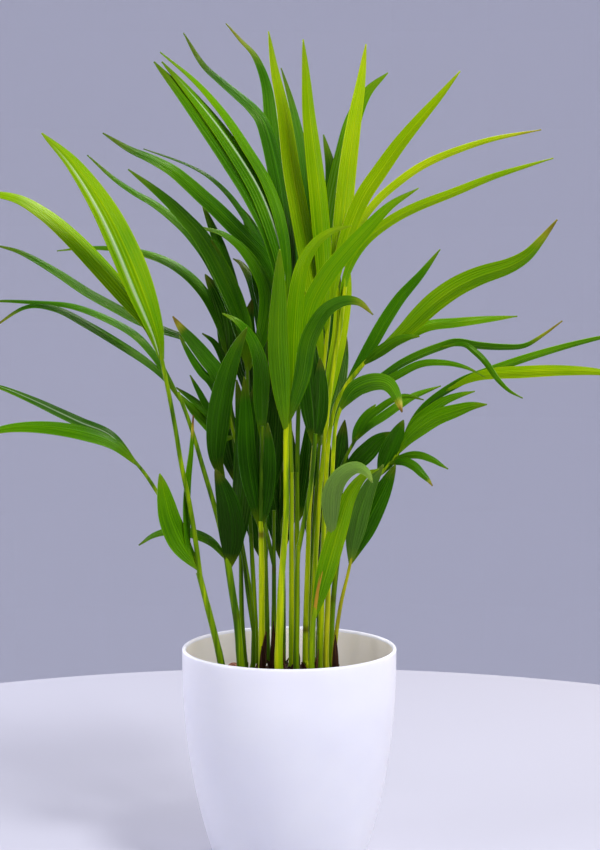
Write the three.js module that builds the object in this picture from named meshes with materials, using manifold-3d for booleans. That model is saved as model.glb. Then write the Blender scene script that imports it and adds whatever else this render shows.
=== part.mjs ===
// A young areca palm, some twenty seedling stems in one clump, in a nursery pot that stands in a white cover pot.
// Millimetres, +Z up. The origin is the middle of the cover pot's flat underside, and the front of the plant is -Y.

import * as THREE from 'three';
import { mergeVertices } from 'three/addons/utils/BufferGeometryUtils.js';
import Module from 'manifold-3d';

const wasm = await Module();
wasm.setup();

// Driving dimensions

const COVER_POT = {
  height: 145, rimRadius: 70, wall: 2.4, floor: 4, footRadius: 42, cornerHeight: 8,
  taper: 22.6, taperPower: 2.3, lipRadius: 1.2, sides: 40,
};
const NURSERY_POT = {
  height: 114, rimRadius: 57, footRadius: 41, wall: 1.2, lipOut: 2.5, lipHeight: 7, drainRadius: 4,
  drainCircle: 26, drains: 4, sides: 32,
};
const MEDIUM = { edgeHeight: 114, crownHeight: 130, sides: 28 };
const HUSK = { centre: [-37, 21, 121], halfSize: [6.5, 5.5, 9] };
const GAP = 0.3;
const ROOT_DEPTH = 30;
const STEM_SIDES = 5;
const LEAF_THICKNESS = 0.8;
const LEAF_FOLD = 0.22;
const TIP_HALF_WIDTH = 0.4;
const LEAF_STEP = 25;
const STALK_STEP = 32;
const FUSE_TOLERANCE = 0.02;

// The runs of the stems, stalks and leaf lobes are read in a front view from this point, as [x, z] on the upright
// plane through the pot's axis. Each run is then carried along the lines of sight to its depth behind that plane.
const VIEWPOINT = new THREE.Vector3(7, -1300, 414);

// The bright upper side of a leaf turns to the front and up unless its own turn says otherwise.
const LIGHT_SIDE = new THREE.Vector3(0, -0.9, 0.44);

// The leafy stems. foot: where the stem leaves the medium.
// stalks: [run, depth at its end, [radius at root, radius at end]], the first one from the foot.
// blades: [run, depth at its tip, width, [turn at root, turn at tip in degrees]].
// Every other stalk and blade springs from the nearest point of what is listed before it in the same stem.
const LEAFY_STEMS = [
  {
    name: 'leafy_stem_01',
    foot: [-43, -10],
    stalks: [
      [[[-45, 136], [-50, 158], [-55, 178], [-59, 194]], -12, [2.5, 2.2]],
      [[[-58, 190], [-61, 215], [-65, 240], [-70, 265], [-74, 290], [-78, 312], [-82, 332], [-84, 343]],
        -30, [1.7, 1.3]],
      [[[-60, 196], [-66, 212], [-74, 228], [-84, 244], [-93, 258], [-101, 268]], -4, [1.6, 1.1]],
    ],
    blades: [
      [[[-82, 334], [-86, 352], [-94, 376], [-105, 404], [-119, 432], [-138, 459], [-158, 478]],
        -62, 20, [10, 25]],
      [[[-82, 334], [-90, 355], [-103, 372], [-120, 392], [-140, 413], [-158, 428], [-178, 438], [-210, 441]],
        -24, 15, [20, 35]],
      [[[-60, 196], [-70, 212], [-77, 228], [-80, 240], [-82, 250], [-84, 259]], -26, 15, [10, 10]],
      [[[-60, 196], [-65, 210], [-66, 225], [-66, 240], [-65, 256], [-63, 275], [-62, 297]],
        -16, 8, [55, 70]],
      [[[-98, 265], [-115, 284], [-135, 293], [-150, 300], [-165, 307], [-185, 315], [-204, 320]],
        30, 9, [20, 45]],
      [[[-98, 265], [-113, 278], [-130, 285], [-150, 289], [-170, 290], [-187, 288], [-205, 282]],
        0, 12, [20, 30]],
    ],
  },
  {
    name: 'leafy_stem_02',
    foot: [-31, -14],
    stalks: [
      [[[-32, 136], [-34, 160], [-37, 180], [-40, 200], [-42, 212]], -15, [2.8, 2.4]],
      [[[-42, 207], [-46, 228], [-51, 246], [-56, 263], [-62, 284], [-67, 299], [-72, 312]], -8, [1.8, 1.2]],
    ],
    blades: [
      [[[-69, 305], [-78, 321], [-87, 336], [-100, 350], [-120, 361], [-140, 368], [-160, 370], [-185, 371],
        [-200, 369]], 16, 8, [35, 45]],
      [[[-69, 305], [-79, 320], [-92, 332], [-110, 344], [-130, 356], [-150, 366], [-170, 367], [-192, 353]],
        -2, 8, [30, 40]],
      [[[-40, 203], [-50, 214], [-62, 220], [-75, 222], [-88, 219], [-98, 212]], 18, 8, [20, 30]],
      [[[-39, 197], [-37, 216], [-39, 235], [-43, 250], [-48, 262]], -34, 17, [15, 0]],
      [[[-39, 197], [-34, 220], [-31, 245], [-30, 270], [-31, 295], [-34, 320]], -8, 15, [-20, -30]],
    ],
  },
  {
    name: 'leafy_stem_03',
    foot: [-24, -4],
    stalks: [
      [[[-23.5, 136], [-23.5, 160], [-25, 180], [-28, 200], [-31, 219]], -6, [2.2, 0.6]],
      [[[-23.5, 156], [-27, 180], [-30, 205], [-35, 228], [-41, 248], [-44, 262]], -2, [1.4, 1.1]],
    ],
    blades: [
      [[[-42, 255], [-47, 270], [-46, 290], [-44, 305], [-40, 323], [-34, 340], [-27, 354]],
        -44, 15, [10, 25]],
    ],
  },
  {
    name: 'leafy_stem_04',
    foot: [-18, -16],
    stalks: [
      [[[-18, 136], [-18, 170], [-18, 200], [-18.5, 228]], -20, [2.3, 2]],
      [[[-18.5, 224], [-18, 255], [-17.5, 290]], -26, [1.6, 1.2]],
    ],
    blades: [
      [[[-18.5, 222], [-23, 245], [-27, 270], [-28, 298], [-29, 322]], -34, 12, [15, 10]],
      [[[-18.5, 222], [-15, 245], [-13, 268], [-14, 292]], -32, 10, [-20, -20]],
      [[[-17.5, 280], [-18, 305], [-18, 328], [-23, 345], [-32, 357], [-43, 363]], -20, 11, [15, 30]],
    ],
  },
  {
    name: 'leafy_stem_05',
    foot: [-11, 2],
    stalks: [
      [[[-10.5, 136], [-10, 175], [-10, 205], [-10, 235]], 3, [2, 1.3]],
      [[[-10, 200], [-16, 225], [-25, 250], [-33, 275], [-40, 300]], 4, [1.4, 1.1]],
    ],
    blades: [
      [[[-39, 292], [-45, 322], [-53, 334], [-62, 345], [-69, 353], [-75, 361]], 14, 12, [30, 10]],
      [[[-39, 292], [-48, 316], [-56, 325], [-63, 335], [-71, 349]], 6, 8, [30, 40]],
      [[[-38, 290], [-46, 297], [-53, 303], [-58, 312], [-64, 323]], -2, 5, [10, 20]],
      [[[-37, 288], [-46, 293], [-55, 301], [-63, 308], [-73, 315]], 16, 6, [20, 20]],
      [[[-36, 282], [-44, 283], [-53, 292], [-62, 301], [-70, 310]], 10, 9, [20, 30]],
    ],
  },
  {
    name: 'leafy_stem_06',
    foot: [-6, -30],
    stalks: [
      [[[-7, 136], [-6, 165], [-5, 190], [-3, 216]], -34, [3.1, 2.3]],
      [[[-3, 210], [-2, 235], [-2, 260], [-2, 285], [-1, 308]], -42, [1.9, 1.7]],
    ],
    blades: [
      [[[-2, 286], [-5, 315], [-7, 345], [-6.5, 375], [-6, 404]], -96, 13, [0, 10]],
      [[[-1, 290], [2, 320], [3, 350], [5, 375], [9, 394], [17, 408], [28, 416], [40, 419]],
        -62, 11, [10, 20]],
      [[[-1, 290], [6, 325], [10, 350], [15, 370], [25, 388], [38, 404], [50, 417], [65, 432], [83, 443]],
        -46, 12, [15, 25]],
      [[[0, 290], [8, 320], [12, 343], [18, 357], [25, 366], [35, 371], [45, 370], [54, 362]],
        -92, 11, [20, 20]],
    ],
  },
  {
    name: 'leafy_stem_07',
    foot: [1, -14],
    stalks: [
      [[[1.5, 136], [1.5, 180], [1.5, 220], [1.5, 260]], -16, [2.1, 1.6]],
      [[[1.5, 255], [0, 300], [-3, 340], [-5, 370]], -18, [1.5, 1.2]],
    ],
    blades: [
      [[[-4, 360], [-4, 385], [-9, 413], [-20, 437], [-35, 460], [-52, 483], [-69, 504], [-86, 523]],
        -46, 17, [10, 15]],
      [[[-4, 360], [-1, 390], [-5, 421], [-14, 447], [-27, 469], [-42, 491], [-60, 511], [-82, 529]],
        -42, 9, [30, 35]],
      [[[-3, 350], [0, 370], [0, 395], [-3, 425], [-8, 455], [-15, 482], [-22, 493], [-32, 502], [-43, 511],
        [-55, 522], [-67, 541]], 34, 13, [20, 40]],
      [[[-4, 360], [-3, 390], [-9, 417], [-19, 442], [-33, 465], [-49, 487], [-66, 507], [-81, 523]],
        -44, 14, [20, 25]],
    ],
  },
  {
    name: 'leafy_stem_08',
    foot: [4, 20],
    stalks: [
      [[[4, 136], [5, 180], [5, 220], [5, 260]], 24, [2.4, 1.8]],
      [[[5, 255], [6, 300], [8, 340]], 28, [1.6, 1.3]],
    ],
    blades: [
      [[[8, 332], [5, 370], [1, 400], [-4, 430], [-8, 460], [-11, 485], [-14, 508], [-21, 526], [-31, 537],
        [-40, 547]], 62, 13, [10, 40]],
      [[[8, 332], [12, 370], [15, 400], [14, 430], [11, 455], [6, 480], [1, 500], [-5, 519]],
        96, 11, [20, 30]],
      [[[8, 332], [18, 370], [25, 400], [28, 430], [27, 455], [22, 477]], 74, 15, [10, 20]],
      [[[8, 332], [19, 370], [26, 406], [31, 437], [36, 463], [41, 486], [50, 504], [63, 516]],
        50, 18, [-10, 10]],
      [[[5, 226], [10, 250], [13, 276], [14, 300]], 30, 13, [0, 0]],
    ],
  },
  {
    name: 'leafy_stem_09',
    foot: [11, -2],
    stalks: [
      [[[10.5, 136], [11, 170], [12, 200], [13, 240]], 0, [2.1, 1.7]],
      [[[13, 235], [16, 275], [20, 310], [24, 345], [27, 375]], 2, [1.6, 1.3]],
    ],
    blades: [
      [[[22, 328], [18, 360], [14, 390], [7, 428], [2, 455], [-3, 490], [-9, 518], [-13, 542]],
        -30, 13, [20, 20]],
      [[[25, 350], [23, 380], [22, 405], [19, 440], [16, 465], [13, 490], [11, 515], [9, 537]],
        -44, 13, [25, 30]],
      [[[26, 364], [31, 395], [35, 425], [38, 455], [42, 485], [46, 510], [49, 534]], 24, 13, [25, 30]],
      [[[26, 364], [33, 398], [40, 420], [48, 438], [58, 453], [70, 470], [83, 486], [96, 501], [109, 517]],
        -12, 11, [35, 35]],
    ],
  },
  {
    name: 'leafy_stem_10',
    foot: [15, 12],
    stalks: [
      [[[15, 136], [16, 180], [18, 220], [21, 260]], 14, [2.1, 1.7]],
      [[[21, 255], [25, 300], [29, 330], [33, 355], [36, 380]], 20, [1.6, 1.3]],
    ],
    blades: [
      [[[35, 372], [38, 398], [45, 418], [55, 433], [68, 445], [85, 457], [105, 466], [130, 474], [161, 480]],
        76, 6, [50, 50]],
      [[[32, 345], [35, 378], [40, 395], [50, 410], [65, 422], [82, 431], [105, 440], [130, 450], [152, 457],
        [169, 462]], 44, 7, [40, 45]],
      [[[25, 300], [29, 325], [34, 350], [38, 374], [39, 393]], 30, 8, [10, 20]],
      [[[24, 290], [27, 322], [31, 350], [31, 374], [28, 390]], 24, 7, [10, 10]],
    ],
  },
  {
    name: 'leafy_stem_11',
    foot: [5, -24],
    stalks: [
      [[[4.5, 136], [5, 165], [5, 190], [6, 212]], -25, [2.2, 1.8]],
      [[[6, 208], [11, 235], [15, 260], [17, 285]], -27, [1.6, 1.3]],
    ],
    blades: [
      [[[16.5, 276], [15, 300], [13, 320], [12, 338], [11, 354]], -22, 15, [0, 20]],
      [[[16.5, 276], [19, 300], [20, 318], [20, 334]], -24, 12, [-10, -10]],
    ],
  },
  {
    name: 'leafy_stem_12',
    foot: [20, -8],
    stalks: [
      [[[20, 136], [21, 170], [22, 200], [23, 240]], -12, [2.3, 1.8]],
      [[[23, 235], [25, 275], [29, 300], [36, 315], [46, 328], [56, 338]], -26, [1.6, 1.2]],
    ],
    blades: [
      [[[34, 312], [45, 329], [54, 344], [62, 358], [72, 373], [85, 388], [97, 404]], 6, 9, [30, 40]],
      [[[52, 334], [63, 342], [74, 351], [84, 361], [95, 371], [108, 380], [123, 387], [141, 393], [153, 400],
        [162, 410], [172, 423]], -66, 13, [20, 50]],
      [[[52, 334], [66, 343], [82, 356], [95, 369], [115, 381], [130, 388], [149, 393]], -36, 7, [30, 40]],
      [[[50, 332], [62, 340], [75, 348], [90, 355], [107, 357], [126, 359], [147, 361]], -10, 7, [10, 10]],
      [[[48, 330], [58, 338], [68, 344.5], [76, 347.5], [84, 348]], -50, 7, [20, 20]],
    ],
  },
  {
    name: 'leafy_stem_13',
    foot: [25, -26],
    stalks: [
      [[[24, 136], [25, 170], [26, 200]], -30, [2.2, 1.8]],
      [[[26, 195], [27, 230], [28, 260], [30, 290], [35, 306]], -46, [1.5, 1.2]],
    ],
    blades: [
      [[[33, 300], [40, 312], [48, 317], [57, 319], [64, 317], [69, 310], [73, 299]], -82, 11, [10, 30]],
      [[[33, 300], [44, 312], [60, 322], [72, 330], [84, 336], [97, 341], [108, 344], [122, 342], [138, 341],
        [152, 342], [164, 349], [176, 358]], -40, 6, [50, 60]],
      [[[97, 341], [112, 343], [120, 338], [127, 331], [134, 321], [142, 313], [151, 308]], -62, 4, [20, 40]],
      [[[33, 300], [48, 313], [66, 321], [84, 330], [100, 331], [114, 328], [126, 322]], -66, 5, [30, 20]],
    ],
  },
  {
    name: 'leafy_stem_14',
    foot: [20, 26],
    stalks: [
      [[[19, 136], [20, 180], [22, 220]], 28, [2, 1.7]],
      [[[22, 215], [28, 245], [36, 268], [44, 283]], 32, [1.4, 1.1]],
    ],
    blades: [
      [[[42, 279], [52, 290], [62, 297], [72, 304], [82, 310], [98, 316]], 52, 6, [20, 40]],
      [[[42, 279], [50, 294], [58, 301], [67, 307], [76, 309.5], [87, 307]], 22, 5, [10, 30]],
      [[[41, 277], [45, 288], [50, 297], [56, 304]], 38, 7, [10, 10]],
      [[[34, 262], [42, 266], [50, 273], [58, 281], [67, 286]], 26, 13, [0, 0]],
      [[[23, 222], [27, 245], [32, 268], [36, 294]], 44, 15, [0, 0]],
    ],
  },
  {
    name: 'leafy_stem_15',
    foot: [28, 6],
    stalks: [
      [[[27, 136], [28, 165], [30, 190], [33, 212]], 6, [2.3, 1.8]],
      [[[33, 208], [40, 228], [50, 246], [60, 260], [70, 272], [75, 280]], 4, [1.5, 1.1]],
    ],
    blades: [
      [[[72, 275], [79, 292], [90, 305], [110, 318], [125, 324], [150, 333], [180, 342], [205, 348],
        [222, 350]], 36, 6, [40, 50]],
      [[[102, 313], [118, 321], [132, 324], [150, 325], [175, 326], [200, 325], [219, 321]], 0, 8, [20, 30]],
      [[[72, 275], [80, 290], [90, 299], [100, 306], [110, 310], [120, 312.5]], 12, 7, [30, 30]],
      [[[70, 271], [77, 282], [86, 290], [96, 296], [108, 300], [118, 303], [128, 304]], -14, 11, [0, 30]],
      [[[58, 257], [63, 268], [68, 280], [74, 294]], 0, 13, [10, 10]],
      [[[68, 268], [77, 271], [85, 271], [93, 268], [98, 265], [103, 262]], -22, 5, [10, 10]],
      [[[66, 264], [74, 267], [81, 264], [86, 259], [90, 255], [93, 251]], -28, 6, [10, 10]],
    ],
  },
  {
    name: 'leafy_stem_16',
    foot: [30, -12],
    stalks: [
      [[[29, 136], [31, 156], [34, 175], [38, 192], [41, 206]], -14, [2, 1.1]],
    ],
    blades: [
      [[[40, 200], [45, 215], [53, 232], [61, 248], [69, 265]], -20, 15, [10, 10]],
      [[[40, 200], [42, 216], [46, 234], [52, 250], [61, 265]], -28, 13, [0, -10]],
    ],
  },
  {
    name: 'leafy_stem_17',
    foot: [15, -32],
    stalks: [
      [[[14.5, 136], [15, 155], [17, 172]], -34, [2.2, 1.9]],
      [[[16, 165], [19, 184], [24, 205], [30, 222]], -42, [1.3, 1.1]],
    ],
    blades: [
      [[[16, 162], [21, 183], [27, 205], [33, 226], [39, 244], [48, 257], [58, 262]], -52, 13, [10, 20]],
      [[[29, 216], [27, 232], [28, 247], [34, 258], [43, 263], [50, 260], [54, 253]], -72, 12, [-10, 20]],
    ],
  },
  {
    name: 'leafy_stem_18',
    foot: [-13, 30],
    stalks: [
      [[[-14, 136], [-15, 180], [-16, 220], [-17, 260]], 32, [2, 1.6]],
      [[[-17, 255], [-16, 300], [-14, 340], [-12, 368]], 38, [1.5, 1.2]],
    ],
    blades: [
      [[[-12, 360], [-10, 385], [-16, 399], [-25, 409], [-35, 419], [-45, 429], [-55, 438], [-65, 447],
        [-75, 455], [-88, 462], [-102, 468], [-119, 478]], 30, 12, [10, 20]],
      [[[-12, 360], [-12, 390], [-18, 408], [-25, 420], [-32, 431], [-40, 441], [-50, 450], [-60, 456],
        [-72, 461], [-93, 468]], 62, 8, [45, 55]],
      [[[-13, 352], [-16, 385], [-20, 405], [-25, 420], [-31, 431]], 84, 16, [0, 20]],
      [[[-16, 236], [-12, 262], [-9, 292], [-8, 324]], 40, 15, [0, 10]],
      [[[-16, 200], [-21, 226], [-22, 252], [-19, 282]], 38, 16, [0, 0]],
      [[[-15, 305], [-23, 328], [-27, 351], [-24, 372]], 50, 14, [0, 10]],
    ],
  },
  {
    name: 'leafy_stem_19',
    foot: [-20, 12],
    stalks: [
      [[[-21, 136], [-23, 180], [-25, 220]], 13, [2, 1.6]],
      [[[-25, 215], [-27, 260], [-27, 300], [-27, 337]], 14, [1.5, 1.2]],
    ],
    blades: [
      [[[-27, 326], [-28, 350], [-34, 370], [-42, 388], [-50, 403], [-58, 415], [-66, 424], [-76, 434],
        [-88, 444], [-103, 455]], -16, 14, [10, 30]],
      [[[-27, 326], [-27, 352], [-34, 374], [-41, 392], [-50, 410]], 0, 9, [20, 20]],
      [[[-27, 328], [-38, 368], [-50, 395], [-62, 412], [-73, 423], [-86, 433], [-100, 441], [-113, 450],
        [-129, 464]], 34, 8, [20, 30]],
      [[[-26, 326], [-17, 350], [-14, 374], [-20, 391], [-30, 405], [-42, 414], [-52, 417], [-62, 419]],
        8, 11, [10, 40]],
      [[[-27, 328], [-36, 375], [-44, 405], [-50, 420], [-56, 434]], 46, 11, [10, 20]],
      [[[-26, 235], [-28, 262], [-26, 290], [-21, 318]], 18, 17, [0, 10]],
    ],
  },
  {
    name: 'leafy_stem_20',
    foot: [-29, 22],
    stalks: [
      [[[-29, 136], [-31, 165], [-31.5, 200], [-32, 230], [-34, 265]], 24, [1.8, 1.4]],
      [[[-34, 260], [-37, 295], [-40, 332]], 28, [1.3, 1.2]],
    ],
    blades: [
      [[[-40, 322], [-42, 348], [-50, 369], [-60, 383], [-72, 393], [-84, 399], [-98, 403], [-115, 405],
        [-132, 405], [-149, 403]], 60, 9, [20, 40]],
      [[[-40, 322], [-52, 337], [-66, 347], [-78, 351.5], [-95, 358], [-110, 366], [-130, 377], [-150, 390],
        [-172, 402], [-190, 407]], 30, 9, [40, 20]],
      [[[-40, 322], [-44, 337], [-49, 345], [-56, 350]], 18, 5, [10, 10]],
      [[[-40, 322], [-38, 342], [-40, 360], [-46, 375], [-54, 388]], 42, 16, [0, 10]],
      [[[-34, 252], [-39, 278], [-43, 302], [-43, 326]], 34, 16, [0, 0]],
    ],
  },
  {
    name: 'leafy_stem_21',
    foot: [-4, 38],
    stalks: [
      [[[-4, 136], [-4, 190], [-5, 240], [-5, 290]], 58, [2, 1.4]],
    ],
    blades: [
      [[[-5, 280], [-9, 320], [-15, 355], [-22, 380], [-30, 394], [-36, 398]], 150, 15, [0, 10]],
      [[[-5, 280], [-1, 330], [4, 370], [9, 395], [13, 402]], 140, 15, [0, 10]],
      [[[-5, 284], [-4, 330], [-5, 380], [-8, 418], [-10, 440]], 112, 14, [10, 10]],
      [[[-5, 282], [-12, 316], [-20, 342], [-29, 360]], 140, 16, [45, 60]],
      [[[-4, 200], [-8, 230], [-12, 256], [-13, 284]], 56, 15, [0, 0]],
      [[[-4, 206], [-1, 234], [1, 260], [1, 290]], 50, 12, [0, 0]],
      [[[-5, 280], [-18, 305], [-28, 328], [-35, 351], [-39, 370]], 92, 15, [0, 10]],
    ],
  },
  {
    name: 'leafy_stem_22',
    foot: [12, 36],
    stalks: [
      [[[12, 136], [14, 190], [17, 240], [20, 285]], 50, [2, 1.4]],
    ],
    blades: [
      [[[20, 277], [24, 320], [28, 355], [31, 380], [32, 392]], 150, 15, [0, 10]],
      [[[20, 277], [21, 318], [18, 352], [13, 378], [10, 388]], 122, 14, [0, 10]],
      [[[20, 277], [28, 305], [34, 330], [37, 348]], 96, 13, [0, 10]],
      [[[20, 278], [26, 302], [31, 322], [35, 336]], 130, 15, [-50, -60]],
      [[[14, 190], [19, 222], [23, 250], [26, 280]], 58, 14, [0, 0]],
      [[[15, 206], [14, 236], [13, 262], [13, 286]], 64, 11, [0, 0]],
    ],
  },
];

// Solids

function solidFrom(geometry) {
  for (const attribute of Object.keys(geometry.attributes)) {
    if (attribute !== 'position') geometry.deleteAttribute(attribute);
  }
  const merged = mergeVertices(geometry, 1e-4);
  return new wasm.Manifold(new wasm.Mesh({
    numProp: 3,
    vertProperties: new Float32Array(merged.attributes.position.array),
    triVerts: new Uint32Array(merged.index.array),
  }));
}

function geometryFrom(solid) {
  const mesh = solid.getMesh();
  const geometry = new THREE.BufferGeometry();
  geometry.setAttribute('position', new THREE.BufferAttribute(new Float32Array(mesh.vertProperties), 3));
  geometry.setIndex(new THREE.BufferAttribute(new Uint32Array(mesh.triVerts), 1));
  geometry.computeVertexNormals();
  return geometry;
}

// Fuses solids into one body: loose scraps are dropped, and a hollow sealed between blades is filled.
function fuse(solids) {
  const whole = solids.reduce((body, solid) => body.add(solid)).simplify(FUSE_TOLERANCE);
  return whole.decompose().reduce((best, piece) => (piece.volume() > best.volume() ? piece : best));
}

// A skin over rings of equal size, closed by a cap at each end. Quads listed in mirrored are split the other way, so
// that the two faces of a thin blade are split alike. caps lists a cap's quads and triangles by ring index.
function ringSkin(rings, mirrored, caps) {
  const size = rings[0].length;
  const corners = [];
  rings.forEach((ring) => ring.forEach((point) => corners.push(point.x, point.y, point.z)));
  const faces = [];
  for (let r = 0; r < rings.length - 1; r += 1) {
    for (let i = 0; i < size; i += 1) {
      const a = r * size + i;
      const b = r * size + ((i + 1) % size);
      const c = b + size;
      const d = a + size;
      if (mirrored.includes(i)) faces.push(a, b, d, b, c, d);
      else faces.push(a, b, c, a, c, d);
    }
  }
  const last = (rings.length - 1) * size;
  caps.forEach(([a, b, c]) => faces.push(c, b, a, last + a, last + b, last + c));
  const geometry = new THREE.BufferGeometry();
  geometry.setAttribute('position', new THREE.Float32BufferAttribute(corners, 3));
  geometry.setIndex(faces);
  return geometry;
}

function fanCaps(size) {
  return Array.from({ length: size - 2 }, (_, i) => [0, i + 1, i + 2]);
}

// Runs and the frames along them

function inSpace([x, z], depth) {
  const { x: eyeX, y: eyeY, z: eyeZ } = VIEWPOINT;
  const reach = (depth - eyeY) / -eyeY;
  return new THREE.Vector3(eyeX + (x - eyeX) * reach, depth, eyeZ + (z - eyeZ) * reach);
}

// Where a point in space is seen from the front: [x, z] on the plane through the pot's axis, and its depth.
function inView({ x, y, z }) {
  const { x: eyeX, y: eyeY, z: eyeZ } = VIEWPOINT;
  const reach = (y - eyeY) / -eyeY;
  return [eyeX + (x - eyeX) / reach, eyeZ + (z - eyeZ) / reach, y];
}

function runInSpace(run, nearDepth, farDepth) {
  const lengths = [0];
  for (let i = 1; i < run.length; i += 1) {
    lengths.push(lengths[i - 1] + Math.hypot(run[i][0] - run[i - 1][0], run[i][1] - run[i - 1][1]));
  }
  const total = lengths[lengths.length - 1];
  return run.map((point, i) => inSpace(point, nearDepth + (farDepth - nearDepth) * (lengths[i] / total)));
}

function curveThrough(points) {
  return new THREE.CatmullRomCurve3(points, false, 'catmullrom', 0.5);
}

// The frame at a share of a curve's length: where it is, the way it runs, its upper face and its side.
function frameAt(curve, share, turn) {
  const place = curve.getPointAt(share);
  const along = curve.getTangentAt(share);
  const face = LIGHT_SIDE.clone().addScaledVector(along, -LIGHT_SIDE.dot(along)).normalize();
  face.applyAxisAngle(along, THREE.MathUtils.degToRad(turn));
  return { place, face, side: new THREE.Vector3().crossVectors(along, face) };
}

function stalk(curve, radii) {
  const steps = Math.max(2, Math.round(curve.getLength() / STALK_STEP));
  const rings = [];
  for (let s = 0; s <= steps; s += 1) {
    const share = s / steps;
    const { place, face, side } = frameAt(curve, share, 0);
    const radius = THREE.MathUtils.lerp(radii[0], radii[1], share);
    rings.push(Array.from({ length: STEM_SIDES }, (_, i) => {
      const angle = (2 * Math.PI * i) / STEM_SIDES;
      const rim = place.clone().addScaledVector(side, radius * Math.cos(angle));
      return rim.addScaledVector(face, -radius * Math.sin(angle));
    }));
  }
  return solidFrom(ringSkin(rings, [], fanCaps(STEM_SIDES)));
}

// A lobe is narrow at its root, widest a little before its middle and drawn out to a long point.
function lobeShare(share) {
  const widest = 0.4;
  if (share < widest) return 0.16 + 0.84 * Math.sin((Math.PI / 2) * (share / widest));
  return Math.cos((Math.PI / 2) * ((share - widest) / (1 - widest))) ** 0.7;
}

function blade(curve, width, turns) {
  const steps = THREE.MathUtils.clamp(Math.round(curve.getLength() / LEAF_STEP), 3, 7);
  const rings = [];
  for (let s = 0; s <= steps; s += 1) {
    const share = s / steps;
    const { place, face, side } = frameAt(curve, share, THREE.MathUtils.lerp(turns[0], turns[1], share));
    const half = Math.max(TIP_HALF_WIDTH, (width / 2) * lobeShare(share));
    const corner = (across, lift) => place.clone().addScaledVector(side, across * half)
      .addScaledVector(face, (lift * LEAF_THICKNESS) / 2 - Math.abs(across) * half * LEAF_FOLD);
    rings.push([corner(-1, 1), corner(0, 1), corner(1, 1), corner(1, -1), corner(0, -1), corner(-1, -1)]);
  }
  return solidFrom(ringSkin(rings, [3, 4], [[0, 1, 4], [0, 4, 5], [1, 2, 3], [1, 3, 4]]));
}

// The medium's top rises from the nursery pot's wall to the middle of the clump.
function mediumHeight(x, y) {
  const share = Math.min(1, Math.hypot(x, y) / nurseryInside(MEDIUM.edgeHeight));
  return MEDIUM.edgeHeight + (MEDIUM.crownHeight - MEDIUM.edgeHeight) * (1 - share * share);
}

function stemStart([x, y], extraDepth) {
  const top = mediumHeight(x, y);
  return [new THREE.Vector3(x, y, top - ROOT_DEPTH - extraDepth), new THREE.Vector3(x, y, top + 4)];
}

// Starts a run at the nearest point, as seen from the front, of the curves laid before it.
function springing(run, depth, laid) {
  const [[x, z], ...others] = run;
  const gap = ([px, pz]) => Math.hypot(px - x, pz - z);
  const [rootX, rootZ, rootDepth] = laid.reduce((best, point) => (gap(point) < gap(best) ? point : best));
  return curveThrough(runInSpace([[rootX, rootZ], ...others], rootDepth, depth));
}

function leafyStem({ foot, stalks, blades }) {
  const laid = [];
  const solids = [];
  const lay = (curve) => {
    laid.push(...curve.getSpacedPoints(Math.ceil(curve.getLength() / 2)).map(inView));
    return curve;
  };
  stalks.forEach(([run, depth, radii], i) => {
    const stem = i === 0 && curveThrough([...stemStart(foot, 0), ...runInSpace(run, foot[1], depth)]);
    solids.push(stalk(lay(stem || springing(run, depth, laid)), radii));
  });
  blades.forEach(([run, depth, width, turns]) => solids.push(blade(lay(springing(run, depth, laid)), width, turns)));
  return fuse(solids);
}

// Pots and medium

function lathe(outline, sides) {
  const geometry = new THREE.LatheGeometry(outline.map(([r, z]) => new THREE.Vector2(r, z)), sides);
  geometry.rotateX(Math.PI / 2);
  return solidFrom(geometry);
}

function coverPotRadius(z) {
  return COVER_POT.rimRadius - COVER_POT.taper * ((COVER_POT.height - z) / COVER_POT.height) ** COVER_POT.taperPower;
}

function coverPot() {
  const { height, wall, floor, footRadius, cornerHeight, lipRadius, sides } = COVER_POT;
  const cornerTop = coverPotRadius(cornerHeight);
  const outline = [[0, 0], [footRadius, 0]];
  for (const angle of [30, 60]) {
    const turn = THREE.MathUtils.degToRad(angle);
    outline.push([footRadius + (cornerTop - footRadius) * Math.sin(turn), cornerHeight * (1 - Math.cos(turn))]);
  }
  for (const z of [cornerHeight, 26, 52, 88, height - lipRadius]) outline.push([coverPotRadius(z), z]);
  outline.push([coverPotRadius(height) - lipRadius * 0.4, height - lipRadius * 0.3]);
  outline.push([coverPotRadius(height) - wall / 2, height]);
  outline.push([coverPotRadius(height) - wall, height - lipRadius]);
  for (const z of [88, 52, 26, cornerHeight + 2]) outline.push([coverPotRadius(z) - wall, z]);
  outline.push([footRadius + 2, floor], [0, floor]);
  return lathe(outline, sides);
}

function nurseryOutside(z) {
  const { height, rimRadius, footRadius } = NURSERY_POT;
  return footRadius + (rimRadius - footRadius) * ((z - COVER_POT.floor) / height);
}

function nurseryInside(z) {
  return nurseryOutside(z) - NURSERY_POT.wall;
}

function upright(centre, radius, low, high, sides) {
  const geometry = new THREE.CylinderGeometry(radius, radius, high - low, sides);
  geometry.rotateX(Math.PI / 2);
  geometry.translate(centre[0], centre[1], (low + high) / 2);
  return solidFrom(geometry);
}

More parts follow.
